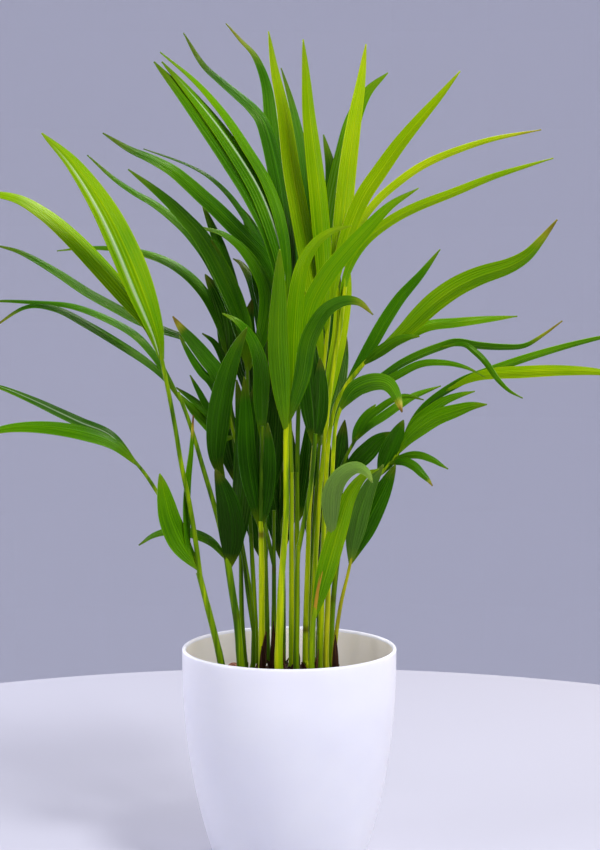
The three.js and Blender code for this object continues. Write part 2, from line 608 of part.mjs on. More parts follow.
function nurseryPot() {
  const { height, footRadius, wall, lipOut, lipHeight, drainRadius, drainCircle, drains, sides } = NURSERY_POT;
  const bottom = COVER_POT.floor;
  const top = bottom + height;
  const lipFoot = top - lipHeight;
  const outline = [
    [0, bottom], [footRadius, bottom], [nurseryOutside(lipFoot), lipFoot],
    [nurseryOutside(lipFoot) + lipOut, lipFoot],
    [nurseryOutside(top) + lipOut, top], [nurseryInside(top), top], [nurseryInside(bottom + wall), bottom + wall],
    [0, bottom + wall],
  ];
  let pot = lathe(outline, sides);
  for (let i = 0; i < drains; i += 1) {
    const angle = (2 * Math.PI * (i + 0.5)) / drains;
    const centre = [drainCircle * Math.cos(angle), drainCircle * Math.sin(angle)];
    pot = pot.subtract(upright(centre, drainRadius, bottom - 2, bottom + wall + 2, 12));
  }
  return pot;
}

function growingMedium() {
  const { edgeHeight, sides } = MEDIUM;
  const low = COVER_POT.floor + NURSERY_POT.wall;
  const rings = [0, 0.35, 0.7].map((share) => share * nurseryInside(edgeHeight));
  const outline = [
    [0, low], [nurseryInside(low) - GAP, low], [nurseryInside(edgeHeight) - GAP, edgeHeight],
    ...rings.reverse().map((radius) => [radius, mediumHeight(radius, 0)]),
  ];
  let medium = lathe(outline, sides);
  const husk = new THREE.SphereGeometry(1, 10, 7);
  husk.rotateX(Math.PI / 2);
  husk.scale(...HUSK.halfSize);
  husk.translate(...HUSK.centre);
  medium = medium.add(solidFrom(husk));
  LEAFY_STEMS.forEach(({ foot, stalks }) => {
    const [bottom] = stemStart(foot, GAP);
    const radius = stalks[0][2][0] + GAP / Math.cos(Math.PI / STEM_SIDES);
    const top = new THREE.Vector3(foot[0], foot[1], MEDIUM.crownHeight + 12);
    medium = medium.subtract(stalk(curveThrough([bottom, top]), [radius, radius]));
  });
  return medium;
}

// The assembly

const FINISHES = {
  whitePlastic: new THREE.MeshStandardMaterial({ color: 0xe6e5f2, roughness: 0.38, metalness: 0 }),
  blackPlastic: new THREE.MeshStandardMaterial({ color: 0x17171a, roughness: 0.6, metalness: 0 }),
  medium: new THREE.MeshStandardMaterial({ color: 0x1e0e08, roughness: 0.95, metalness: 0 }),
  leaf: new THREE.MeshStandardMaterial({ color: 0x4c8a00, roughness: 0.4, metalness: 0 }),
};

const plant = new THREE.Group();

function place(name, solid, finish) {
  const mesh = new THREE.Mesh(geometryFrom(solid), finish);
  mesh.name = name;
  plant.add(mesh);
}

place('cover_pot', coverPot(), FINISHES.whitePlastic);
place('nursery_pot', nurseryPot(), FINISHES.blackPlastic);
place('growing_medium', growingMedium(), FINISHES.medium);
LEAFY_STEMS.forEach((stem) => place(stem.name, leafyStem(stem), FINISHES.leaf));

export default plant;
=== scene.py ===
"""A potted areca palm: a clump of young ribbed leaves on sheathed stems, in a nursery pot in a cover pot."""

import math
from functools import partial

import bmesh
import bpy
import numpy as np
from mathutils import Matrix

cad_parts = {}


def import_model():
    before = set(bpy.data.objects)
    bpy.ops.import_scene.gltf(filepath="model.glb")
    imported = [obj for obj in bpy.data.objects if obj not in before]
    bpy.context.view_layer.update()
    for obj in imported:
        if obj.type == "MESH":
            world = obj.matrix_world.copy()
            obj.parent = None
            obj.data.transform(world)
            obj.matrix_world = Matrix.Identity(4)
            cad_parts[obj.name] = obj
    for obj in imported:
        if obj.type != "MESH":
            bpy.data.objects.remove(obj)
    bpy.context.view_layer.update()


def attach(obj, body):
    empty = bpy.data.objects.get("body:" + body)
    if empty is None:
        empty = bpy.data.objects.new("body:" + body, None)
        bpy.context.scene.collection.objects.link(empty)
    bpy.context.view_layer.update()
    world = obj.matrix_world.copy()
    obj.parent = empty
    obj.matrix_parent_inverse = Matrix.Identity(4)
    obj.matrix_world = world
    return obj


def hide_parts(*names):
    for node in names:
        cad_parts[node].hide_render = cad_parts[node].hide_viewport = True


MM = 0.001
FULL_TURN = 2 * math.pi

# Where the runs of stems and lobes were read from, in millimetres, and the side a leaf turns to the light.
VIEWPOINT = np.array([7.0, -1300.0, 414.0])
LIGHT_SIDE = (0.0, -0.9, 0.44)

# The front camera: its dip in degrees, sensor in millimetres, focal length in pixels, and frame in pixels.
CAMERA_DIP = 5.42
SENSOR_WIDTH = 36.0
FOCAL_PIXELS = 2017
FRAME_HEIGHT = 850

# Sizes in millimetres.
COVER_POT = dict(height=145.0, rim_radius=70.0, wall=2.4, floor=4.0, foot_radius=42.0, corner=8.0, taper=22.6,
                 taper_power=2.3, lip=1.2, inner_bevel=1.8)
NURSERY_POT = dict(height=114.0, rim_radius=57.0, foot_radius=41.0, wall=1.2, lip_out=2.5, lip_height=7.0)
MEDIUM = dict(edge_height=114.0, crown_height=130.0, gap=0.3, wave=1.6)
HUSK = dict(centre=(-37.0, 21.0, 121.0), half_size=(6.5, 5.5, 9.0))
ROOT_DEPTH = 30.0
LEAF_THICKNESS = 0.6
TIP_HALF_WIDTH = 0.4
WELD = 0.001
RING_WIDTH = 2.2
STALK_SPACING = 2.0
LOBE_SPACING = 2.2

# A stem turns brown towards its foot: from which height down, and over which length. In millimetres.
BROWN_TOP = 155.0
BROWN_LENGTH = 40.0

# The starts of the random draws. A stem's own number is added to the first.
STEM_SEED = 400
SHEATH_SEED = 77
WAVE_SEED = 9

# The stage, in metres.
FLOOR_RADIUS = 0.6
ROOM_RADIUS = 3.3

# The leafy stems, in millimetres. foot: where the stem leaves the medium. stalks: run, depth at its end,
# radius at root and end, tone. lobes: run, depth at its tip, width, turn at root and tip in degrees, tone.
# A run is x, z, x, z and so on, read in the front view. All but the first stalk spring from the nearest point
# of what is listed before them in their stem. A tone is painted light and shade: it goes from 0, the shaded
# dark green, to 1, the sunlit yellow green.
LEAFY_STEMS = [
    dict(foot=(-43, -10), stalks=[
        ((-45, 136, -50, 158, -55, 178, -59, 194), -12, 2.5, 2.2, 0.52),
        ((-58, 190, -61, 215, -65, 240, -70, 265, -74, 290, -78, 312, -82, 332, -84, 343), -30, 1.7, 1.3,
         0.58),
        ((-60, 196, -66, 212, -74, 228, -84, 244, -93, 258, -101, 268), -4, 1.6, 1.1, 0.62),
    ], lobes=[
        ((-82, 334, -86, 352, -94, 376, -105, 404, -119, 432, -138, 459, -158, 478), -62, 20, 10, 25, 0.64),
        ((-82, 334, -90, 355, -103, 372, -120, 392, -140, 413, -158, 428, -178, 438, -210, 441), -24, 15,
         20, 35, 0.66),
        ((-60, 196, -70, 212, -77, 228, -80, 240, -82, 250, -84, 259), -26, 15, 10, 10, 0.48),
        ((-60, 196, -65, 210, -66, 225, -66, 240, -65, 256, -63, 275, -62, 297), -16, 8, 55, 70, 0.44),
        ((-98, 265, -115, 284, -135, 293, -150, 300, -165, 307, -185, 315, -204, 320), 30, 9, 20, 45, 0.4),
        ((-98, 265, -113, 278, -130, 285, -150, 289, -170, 290, -187, 288, -205, 282), 0, 12, 20, 30, 0.48),
    ]),
    dict(foot=(-31, -14), stalks=[
        ((-32, 136, -34, 160, -37, 180, -40, 200, -42, 212), -15, 2.8, 2.4, 0.58),
        ((-42, 207, -46, 228, -51, 246, -56, 263, -62, 284, -67, 299, -72, 312), -8, 1.8, 1.2, 0.56),
    ], lobes=[
        ((-69, 305, -78, 321, -87, 336, -100, 350, -120, 361, -140, 368, -160, 370, -185, 371, -200, 369),
         16, 8, 35, 45, 0.42),
        ((-69, 305, -79, 320, -92, 332, -110, 344, -130, 356, -150, 366, -170, 367, -192, 353), -2, 8, 30,
         40, 0.38),
        ((-40, 203, -50, 214, -62, 220, -75, 222, -88, 219, -98, 212), 18, 8, 20, 30, 0.46),
        ((-39, 197, -37, 216, -39, 235, -43, 250, -48, 262), -34, 17, 15, 0, 0.16),
        ((-39, 197, -34, 220, -31, 245, -30, 270, -31, 295, -34, 320), -8, 15, -20, -30, 0.26),
    ]),
    dict(foot=(-24, -4), stalks=[
        ((-23.5, 136, -23.5, 160, -25, 180, -28, 200, -31, 219), -6, 2.2, 0.6, 0.49),
        ((-23.5, 156, -27, 180, -30, 205, -35, 228, -41, 248, -44, 262), -2, 1.4, 1.1, 0.44),
    ], lobes=[
        ((-42, 255, -47, 270, -46, 290, -44, 305, -40, 323, -34, 340, -27, 354), -44, 15, 10, 25, 0.34),
    ]),
    dict(foot=(-18, -16), stalks=[
        ((-18, 136, -18, 170, -18, 200, -18.5, 228), -20, 2.3, 2, 0.91),
        ((-18.5, 224, -18, 255, -17.5, 290), -26, 1.6, 1.2, 0.41),
    ], lobes=[
        ((-18.5, 222, -23, 245, -27, 270, -28, 298, -29, 322), -34, 12, 15, 10, 0.22),
        ((-18.5, 222, -15, 245, -13, 268, -14, 292), -32, 10, -20, -20, 0.24),
        ((-17.5, 280, -18, 305, -18, 328, -23, 345, -32, 357, -43, 363), -20, 11, 15, 30, 0.36),
    ]),
    dict(foot=(-11, 2), stalks=[
        ((-10.5, 136, -10, 175, -10, 205, -10, 235), 3, 2, 1.3, 0.57),
        ((-10, 200, -16, 225, -25, 250, -33, 275, -40, 300), 4, 1.4, 1.1, 0.49),
    ], lobes=[
        ((-39, 292, -45, 322, -53, 334, -62, 345, -69, 353, -75, 361), 14, 12, 30, 10, 0.36),
        ((-39, 292, -48, 316, -56, 325, -63, 335, -71, 349), 6, 8, 30, 40, 0.32),
        ((-38, 290, -46, 297, -53, 303, -58, 312, -64, 323), -2, 5, 10, 20, 0.28),
        ((-37, 288, -46, 293, -55, 301, -63, 308, -73, 315), 16, 6, 20, 20, 0.34),
        ((-36, 282, -44, 283, -53, 292, -62, 301, -70, 310), 10, 9, 20, 30, 0.4),
    ]),
    dict(foot=(-6, -30), stalks=[
        ((-7, 136, -6, 165, -5, 190, -3, 216), -34, 3.1, 2.3, 0.85),
        ((-3, 210, -2, 235, -2, 260, -2, 285, -1, 308), -42, 1.9, 1.7, 0.83),
    ], lobes=[
        ((-2, 286, -5, 315, -7, 345, -6.5, 375, -6, 404), -96, 13, 0, 10, 0.56),
        ((-1, 290, 2, 320, 3, 350, 5, 375, 9, 394, 17, 408, 28, 416, 40, 419), -62, 11, 10, 20, 0.62),
        ((-1, 290, 6, 325, 10, 350, 15, 370, 25, 388, 38, 404, 50, 417, 65, 432, 83, 443), -46, 12, 15, 25,
         0.62),
        ((0, 290, 8, 320, 12, 343, 18, 357, 25, 366, 35, 371, 45, 370, 54, 362), -92, 11, 20, 20, 0.44),
    ]),
    dict(foot=(1, -14), stalks=[
        ((1.5, 136, 1.5, 180, 1.5, 220, 1.5, 260), -16, 2.1, 1.6, 0.83),
        ((1.5, 255, 0, 300, -3, 340, -5, 370), -18, 1.5, 1.2, 0.65),
    ], lobes=[
        ((-4, 360, -4, 385, -9, 413, -20, 437, -35, 460, -52, 483, -69, 504, -86, 523), -46, 17, 10, 15,
         0.4),
        ((-4, 360, -1, 390, -5, 421, -14, 447, -27, 469, -42, 491, -60, 511, -82, 529), -42, 9, 30, 35,
         0.5),
        ((-3, 350, 0, 370, 0, 395, -3, 425, -8, 455, -15, 482, -22, 493, -32, 502, -43, 511, -55, 522, -67,
          541), 34, 13, 20, 40, 0.32),
        ((-4, 360, -3, 390, -9, 417, -19, 442, -33, 465, -49, 487, -66, 507, -81, 523), -44, 14, 20, 25,
         0.44),
    ]),
    dict(foot=(4, 20), stalks=[
        ((4, 136, 5, 180, 5, 220, 5, 260), 24, 2.4, 1.8, 0.59),
        ((5, 255, 6, 300, 8, 340), 28, 1.6, 1.3, 0.39),
    ], lobes=[
        ((8, 332, 5, 370, 1, 400, -4, 430, -8, 460, -11, 485, -14, 508, -21, 526, -31, 537, -40, 547), 62,
         13, 10, 40, 0.36),
        ((8, 332, 12, 370, 15, 400, 14, 430, 11, 455, 6, 480, 1, 500, -5, 519), 96, 11, 20, 30, 0.34),
        ((8, 332, 18, 370, 25, 400, 28, 430, 27, 455, 22, 477), 74, 15, 10, 20, 0.36),
        ((8, 332, 19, 370, 26, 406, 31, 437, 36, 463, 41, 486, 50, 504, 63, 516), 50, 18, -10, 10, 0.52),
        ((5, 226, 10, 250, 13, 276, 14, 300), 30, 13, 0, 0, 0.22),
    ]),
    dict(foot=(11, -2), stalks=[
        ((10.5, 136, 11, 170, 12, 200, 13, 240), 0, 2.1, 1.7, 0.92),
        ((13, 235, 16, 275, 20, 310, 24, 345, 27, 375), 2, 1.6, 1.3, 0.89),
    ], lobes=[
        ((22, 328, 18, 360, 14, 390, 7, 428, 2, 455, -3, 490, -9, 518, -13, 542), -30, 13, 20, 20, 0.76),
        ((25, 350, 23, 380, 22, 405, 19, 440, 16, 465, 13, 490, 11, 515, 9, 537), -44, 13, 25, 30, 0.74),
        ((26, 364, 31, 395, 35, 425, 38, 455, 42, 485, 46, 510, 49, 534), 24, 13, 25, 30, 0.8),
        ((26, 364, 33, 398, 40, 420, 48, 438, 58, 453, 70, 470, 83, 486, 96, 501, 109, 517), -12, 11, 35,
         35, 0.78),
    ]),
    dict(foot=(15, 12), stalks=[
        ((15, 136, 16, 180, 18, 220, 21, 260), 14, 2.1, 1.7, 0.85),
        ((21, 255, 25, 300, 29, 330, 33, 355, 36, 380), 20, 1.6, 1.3, 0.91),
    ], lobes=[
        ((35, 372, 38, 398, 45, 418, 55, 433, 68, 445, 85, 457, 105, 466, 130, 474, 161, 480), 76, 6, 50,
         50, 0.86),
        ((32, 345, 35, 378, 40, 395, 50, 410, 65, 422, 82, 431, 105, 440, 130, 450, 152, 457, 169, 462), 44,
         7, 40, 45, 0.74),
        ((25, 300, 29, 325, 34, 350, 38, 374, 39, 393), 30, 8, 10, 20, 0.84),
        ((24, 290, 27, 322, 31, 350, 31, 374, 28, 390), 24, 7, 10, 10, 0.82),
    ]),
    dict(foot=(5, -24), stalks=[
        ((4.5, 136, 5, 165, 5, 190, 6, 212), -25, 2.2, 1.8, 0.65),
        ((6, 208, 11, 235, 15, 260, 17, 285), -27, 1.6, 1.3, 0.49),
    ], lobes=[
        ((16.5, 276, 15, 300, 13, 320, 12, 338, 11, 354), -22, 15, 0, 20, 0.18),
        ((16.5, 276, 19, 300, 20, 318, 20, 334), -24, 12, -10, -10, 0.2),
    ]),
    dict(foot=(20, -8), stalks=[
        ((20, 136, 21, 170, 22, 200, 23, 240), -12, 2.3, 1.8, 0.83),
        ((23, 235, 25, 275, 29, 300, 36, 315, 46, 328, 56, 338), -26, 1.6, 1.2, 0.83),
    ], lobes=[
        ((34, 312, 45, 329, 54, 344, 62, 358, 72, 373, 85, 388, 97, 404), 6, 9, 30, 40, 0.4),
        ((52, 334, 63, 342, 74, 351, 84, 361, 95, 371, 108, 380, 123, 387, 141, 393, 153, 400, 162, 410,
          172, 423), -66, 13, 20, 50, 0.62),
        ((52, 334, 66, 343, 82, 356, 95, 369, 115, 381, 130, 388, 149, 393), -36, 7, 30, 40, 0.62),
        ((50, 332, 62, 340, 75, 348, 90, 355, 107, 357, 126, 359, 147, 361), -10, 7, 10, 10, 0.56),
        ((48, 330, 58, 338, 68, 344.5, 76, 347.5, 84, 348), -50, 7, 20, 20, 0.45),
    ]),
    dict(foot=(25, -26), stalks=[
        ((24, 136, 25, 170, 26, 200), -30, 2.2, 1.8, 0.77),
        ((26, 195, 27, 230, 28, 260, 30, 290, 35, 306), -46, 1.5, 1.2, 0.79),
    ], lobes=[
        ((33, 300, 40, 312, 48, 317, 57, 319, 64, 317, 69, 310, 73, 299), -82, 11, 10, 30, 0.46),
        ((33, 300, 44, 312, 60, 322, 72, 330, 84, 336, 97, 341, 108, 344, 122, 342, 138, 341, 152, 342, 164,
          349, 176, 358), -40, 6, 50, 60, 0.45),
        ((97, 341, 112, 343, 120, 338, 127, 331, 134, 321, 142, 313, 151, 308), -62, 4, 20, 40, 0.48),
        ((33, 300, 48, 313, 66, 321, 84, 330, 100, 331, 114, 328, 126, 322), -66, 5, 30, 20, 0.45),
    ]),
    dict(foot=(20, 26), stalks=[
        ((19, 136, 20, 180, 22, 220), 28, 2, 1.7, 0.45),
        ((22, 215, 28, 245, 36, 268, 44, 283), 32, 1.4, 1.1, 0.39),
    ], lobes=[
        ((42, 279, 52, 290, 62, 297, 72, 304, 82, 310, 98, 316), 52, 6, 20, 40, 0.48),
        ((42, 279, 50, 294, 58, 301, 67, 307, 76, 309.5, 87, 307), 22, 5, 10, 30, 0.5),
        ((41, 277, 45, 288, 50, 297, 56, 304), 38, 7, 10, 10, 0.46),
        ((34, 262, 42, 266, 50, 273, 58, 281, 67, 286), 26, 13, 0, 0, 0.34),
        ((23, 222, 27, 245, 32, 268, 36, 294), 44, 15, 0, 0, 0.2),
    ]),
    dict(foot=(28, 6), stalks=[
        ((27, 136, 28, 165, 30, 190, 33, 212), 6, 2.3, 1.8, 0.67),
        ((33, 208, 40, 228, 50, 246, 60, 260, 70, 272, 75, 280), 4, 1.5, 1.1, 0.61),
    ], lobes=[
        ((72, 275, 79, 292, 90, 305, 110, 318, 125, 324, 150, 333, 180, 342, 205, 348, 222, 350), 36, 6, 40,
         50, 0.48),
        ((102, 313, 118, 321, 132, 324, 150, 325, 175, 326, 200, 325, 219, 321), 0, 8, 20, 30, 0.74),
        ((72, 275, 80, 290, 90, 299, 100, 306, 110, 310, 120, 312.5), 12, 7, 30, 30, 0.54),
        ((70, 271, 77, 282, 86, 290, 96, 296, 108, 300, 118, 303, 128, 304), -14, 11, 0, 30, 0.56),
        ((58, 257, 63, 268, 68, 280, 74, 294), 0, 13, 10, 10, 0.32),
        ((68, 268, 77, 271, 85, 271, 93, 268, 98, 265, 103, 262), -22, 5, 10, 10, 0.46),
        ((66, 264, 74, 267, 81, 264, 86, 259, 90, 255, 93, 251), -28, 6, 10, 10, 0.44),
    ]),
    dict(foot=(30, -12), stalks=[
        ((29, 136, 31, 156, 34, 175, 38, 192, 41, 206), -14, 2, 1.1, 0.71),
    ], lobes=[
        ((40, 200, 45, 215, 53, 232, 61, 248, 69, 265), -20, 15, 10, 10, 0.36),
        ((40, 200, 42, 216, 46, 234, 52, 250, 61, 265), -28, 13, 0, -10, 0.42),
    ]),
    dict(foot=(15, -32), stalks=[
        ((14.5, 136, 15, 155, 17, 172), -34, 2.2, 1.9, 0.65),
        ((16, 165, 19, 184, 24, 205, 30, 222), -42, 1.3, 1.1, 0.89),
    ], lobes=[
        ((16, 162, 21, 183, 27, 205, 33, 226, 39, 244, 48, 257, 58, 262), -52, 13, 10, 20, 0.62),
        ((29, 216, 27, 232, 28, 247, 34, 258, 43, 263, 50, 260, 54, 253), -72, 12, -10, 20, 0.5),
    ]),
    dict(foot=(-13, 30), stalks=[
        ((-14, 136, -15, 180, -16, 220, -17, 260), 32, 2, 1.6, 0.49),
        ((-17, 255, -16, 300, -14, 340, -12, 368), 38, 1.5, 1.2, 0.29),
    ], lobes=[
        ((-12, 360, -10, 385, -16, 399, -25, 409, -35, 419, -45, 429, -55, 438, -65, 447, -75, 455, -88,
          462, -102, 468, -119, 478), 30, 12, 10, 20, 0.38),
        ((-12, 360, -12, 390, -18, 408, -25, 420, -32, 431, -40, 441, -50, 450, -60, 456, -72, 461, -93,
          468), 62, 8, 45, 55, 0.34),
        ((-13, 352, -16, 385, -20, 405, -25, 420, -31, 431), 84, 16, 0, 20, 0.24),
        ((-16, 236, -12, 262, -9, 292, -8, 324), 40, 15, 0, 10, 0.2),
        ((-16, 200, -21, 226, -22, 252, -19, 282), 38, 16, 0, 0, 0.18),
        ((-15, 305, -23, 328, -27, 351, -24, 372), 50, 14, 0, 10, 0.14),
    ]),
    dict(foot=(-20, 12), stalks=[
        ((-21, 136, -23, 180, -25, 220), 13, 2, 1.6, 0.49),
        ((-25, 215, -27, 260, -27, 300, -27, 337), 14, 1.5, 1.2, 0.39),
    ], lobes=[
        ((-27, 326, -28, 350, -34, 370, -42, 388, -50, 403, -58, 415, -66, 424, -76, 434, -88, 444, -103,
          455), -16, 14, 10, 30, 0.4),
        ((-27, 326, -27, 352, -34, 374, -41, 392, -50, 410), 0, 9, 20, 20, 0.34),
        ((-27, 328, -38, 368, -50, 395, -62, 412, -73, 423, -86, 433, -100, 441, -113, 450, -129, 464), 34,
         8, 20, 30, 0.38),
        ((-26, 326, -17, 350, -14, 374, -20, 391, -30, 405, -42, 414, -52, 417, -62, 419), 8, 11, 10, 40,
         0.42),
        ((-27, 328, -36, 375, -44, 405, -50, 420, -56, 434), 46, 11, 10, 20, 0.32),
        ((-26, 235, -28, 262, -26, 290, -21, 318), 18, 17, 0, 10, 0.22),
    ]),
    dict(foot=(-29, 22), stalks=[
        ((-29, 136, -31, 165, -31.5, 200, -32, 230, -34, 265), 24, 1.8, 1.4, 0.45),
        ((-34, 260, -37, 295, -40, 332), 28, 1.3, 1.2, 0.39),
    ], lobes=[
        ((-40, 322, -42, 348, -50, 369, -60, 383, -72, 393, -84, 399, -98, 403, -115, 405, -132, 405, -149,
          403), 60, 9, 20, 40, 0.44),
        ((-40, 322, -52, 337, -66, 347, -78, 351.5, -95, 358, -110, 366, -130, 377, -150, 390, -172, 402,
          -190, 407), 30, 9, 40, 20, 0.4),
        ((-40, 322, -44, 337, -49, 345, -56, 350), 18, 5, 10, 10, 0.34),
        ((-40, 322, -38, 342, -40, 360, -46, 375, -54, 388), 42, 16, 0, 10, 0.26),
        ((-34, 252, -39, 278, -43, 302, -43, 326), 34, 16, 0, 0, 0.2),
    ]),
    dict(foot=(-4, 38), stalks=[
        ((-4, 136, -4, 190, -5, 240, -5, 290), 58, 2, 1.4, 0.39),
    ], lobes=[
        ((-5, 280, -9, 320, -15, 355, -22, 380, -30, 394, -36, 398), 150, 15, 0, 10, 0.16),
        ((-5, 280, -1, 330, 4, 370, 9, 395, 13, 402), 140, 15, 0, 10, 0.18),
        ((-5, 284, -4, 330, -5, 380, -8, 418, -10, 440), 112, 14, 10, 10, 0.18),
        ((-5, 282, -12, 316, -20, 342, -29, 360), 140, 16, 45, 60, 0.18),
        ((-4, 200, -8, 230, -12, 256, -13, 284), 56, 15, 0, 0, 0.16),
        ((-4, 206, -1, 234, 1, 260, 1, 290), 50, 12, 0, 0, 0.18),
        ((-5, 280, -18, 305, -28, 328, -35, 351, -39, 370), 92, 15, 0, 10, 0.12),
    ]),
    dict(foot=(12, 36), stalks=[
        ((12, 136, 14, 190, 17, 240, 20, 285), 50, 2, 1.4, 0.41),
    ], lobes=[
        ((20, 277, 24, 320, 28, 355, 31, 380, 32, 392), 150, 15, 0, 10, 0.2),
        ((20, 277, 21, 318, 18, 352, 13, 378, 10, 388), 122, 14, 0, 10, 0.2),
        ((20, 277, 28, 305, 34, 330, 37, 348), 96, 13, 0, 10, 0.2),
        ((20, 278, 26, 302, 31, 322, 35, 336), 130, 15, -50, -60, 0.18),
        ((14, 190, 19, 222, 23, 250, 26, 280), 58, 14, 0, 0, 0.18),
        ((15, 206, 14, 236, 13, 262, 13, 286), 64, 11, 0, 0, 0.18),
    ]),
]

# What sets single lobes and stalks apart, by the number of the stem and their place in its list.
# Lobes that show the pale bloom of their undersides, and stalks that have aged to brown.
PALE_LOBES = {(17, 1): 0.34, (16, 1): 0.12}
RUSTY_STALKS = {(17, 1): 0.75, (16, 0): 0.3, (13, 0): 0.2}
# Lobes with a painted highlight, a pale line for light caught on a fold: its place across the lobe, from 0
# at one rim to 1 at the other.
PAINTED_GLINT_LINES = {(7, 3): 0.5, (1, 0): 0.24, (1, 4): 0.4}
# Lobes whose tips have dried: 1 is a brown tip a good centimetre long.
DRY_TIPS = {
    (1, 3): 1.0, (1, 4): 0.4, (2, 1): 0.3, (5, 0): 0.6, (6, 3): 0.3, (8, 0): 0.25, (10, 0): 0.4, (12, 1): 0.5,
    (13, 0): 0.8, (13, 1): 0.5, (15, 6): 0.5,
}
# Brown rings where an old sheath has come away, by stem: their height in millimetres and how dark they are.
SHEATH_RINGS = {
    2: (168, 0.3), 4: (222, 1.0), 5: (196, 0.5), 9: (157, 0.9), 12: (205, 0.4), 14: (183, 0.4),
    15: (176, 0.5),
}
# How many tall dead sheaths stand round a stem's foot. Elsewhere they are short.
TALL_SHEATHS = {4: 2, 5: 3, 6: 1, 16: 1, 17: 1}

# The lamps: name, place and target in metres, size in metres, power in watts, colour.
LAMPS = (
    ("right softbox", (1.5, -0.9, 0.8), (0, 0, 0.25), 1.1, 14.0, "#FFFFFF"),
    ("left softbox", (-1.5, -0.9, 0.8), (0, 0, 0.25), 1.1, 13.5, "#FAFAFF"),
    ("window", (0.6, -0.8, 1.7), (0, 0, 0.25), 0.35, 22.0, "#FFFFFF"),
    ("crown", (0.3, 0.6, 1.6), (0, 0, 0.35), 0.4, 12.0, "#FFFFFF"),
    ("back left", (-0.9, 0.9, 0.4), (0, 0, 0.1), 0.8, 6.0, "#F4F4FF"),
    ("back right", (0.9, 0.9, 0.4), (0, 0, 0.1), 0.8, 4.0, "#FFEAC8"),
    ("front", (0.1, -2.0, 0.7), (0, 0, 0.2), 1.3, 5.0, "#FFFFFF"),
)


# Nodes

NODE_FAMILIES = ("ShaderNode", "GeometryNode", "FunctionNode", "")


def linear(code):
    """An sRGB hex colour as linear RGBA."""
    parts = [int(code[i:i + 2], 16) / 255 for i in (1, 3, 5)]
    return tuple(p / 12.92 if p <= 0.04045 else ((p + 0.055) / 1.055) ** 2.4 for p in parts) + (1.0,)


def set_inputs(tree, node, inputs):
    """Sets a node's inputs by place or by name. A node or a socket becomes a link, a hex code a colour."""
    for key, value in inputs.items():
        if isinstance(key, str):
            socket = next(s for s in node.inputs if s.enabled and s.name == key.replace("_", " "))
        else:
            socket = node.inputs[key]
        for one in value if isinstance(value, list) else [value]:
            if isinstance(one, bpy.types.Node):
                one = next(s for s in one.outputs if s.enabled)
            if isinstance(one, bpy.types.NodeSocket):
                tree.links.new(one, socket)
            else:
                is_colour = isinstance(one, str) and one.startswith("#")
                socket.default_value = linear(one) if is_colour else one


def add_node(tree, kind, *values, stops=(), **named):
    """Adds a node with its settings and links. Its kind is named without its family, and an operation may
    follow. Plain values go to its inputs in order. Named values with a capital go to the inputs of that name,
    the others are settings, and stops are the places and colours of a colour ramp."""
    kind, _, operation = kind.partition(" ")
    node = tree.nodes.new(next(f + kind for f in NODE_FAMILIES if hasattr(bpy.types, f + kind)))
    if operation:
        node.operation = operation
    for name, value in named.items():
        if name[0].islower():
            setattr(node, name, value)
    for i, (position, code) in enumerate(stops):
        elements = node.color_ramp.elements
        element = elements[i] if i < 2 else elements.new(position)
        element.position = position
        element.color = linear(code)
    inputs = dict(enumerate(values))
    inputs.update((name, value) for name, value in named.items() if name[0].isupper())
    set_inputs(tree, node, inputs)
    return node


# Runs in space


def in_space(point, depth):
    """A point of the front view carried along its line of sight to a depth behind the pot's axis."""
    reach = (depth - VIEWPOINT[1]) / -VIEWPOINT[1]
    return np.array([VIEWPOINT[0] + (point[0] - VIEWPOINT[0]) * reach, depth,
                     VIEWPOINT[2] + (point[1] - VIEWPOINT[2]) * reach])


def in_view(points):
    """Where points in space are seen from the front, with their depths."""
    reach = (points[:, 1] - VIEWPOINT[1]) / -VIEWPOINT[1]
    return np.column_stack([VIEWPOINT[0] + (points[:, 0] - VIEWPOINT[0]) / reach,
                            VIEWPOINT[2] + (points[:, 2] - VIEWPOINT[2]) / reach, points[:, 1]])


def lengths_along(points):
    return np.concatenate([[0.0], np.cumsum(np.linalg.norm(np.diff(points, axis=0), axis=1))])


def run_in_space(run, near_depth, far_depth):
    lengths = lengths_along(run)
    depths = near_depth + (far_depth - near_depth) * lengths / lengths[-1]
    return np.array([in_space(point, depth) for point, depth in zip(run, depths)])


def springing(run, depth, laid):
    """A run that starts at the nearest point, as seen from the front, of what is already laid."""
    root = laid[int(np.argmin(np.hypot(laid[:, 0] - run[0][0], laid[:, 1] - run[0][1])))]
    return run_in_space(np.vstack([root[:2], run[1:]]), root[2], depth)


def smooth_path(knots, spacing):
    """A Catmull-Rom curve through the knots, as points that lie evenly along it."""
    ends = np.vstack([2 * knots[0] - knots[1], knots, 2 * knots[-1] - knots[-2]])
    t = np.linspace(0, 1, 60, endpoint=False)[:, None]
    dense = []
    for i in range(len(knots) - 1):
        p0, p1, p2, p3 = ends[i:i + 4]
        start, end = 0.5 * (p2 - p0), 0.5 * (p3 - p1)
        dense.append((2 * t**3 - 3 * t**2 + 1) * p1 + (t**3 - 2 * t**2 + t) * start
                     + (-2 * t**3 + 3 * t**2) * p2 + (t**3 - t**2) * end)
    dense = np.vstack([*dense, knots[-1:]])
    lengths = lengths_along(dense)
    even = np.linspace(0, lengths[-1], max(8, round(lengths[-1] / spacing)) + 1)
    return np.column_stack([np.interp(even, lengths, dense[:, k]) for k in range(3)])


def nursery_outside(z):
    low, high = NURSERY_POT["foot_radius"], NURSERY_POT["rim_radius"]
    return low + (high - low) * (z - COVER_POT["floor"]) / NURSERY_POT["height"]


def nursery_inside(z):
    return nursery_outside(z) - NURSERY_POT["wall"]


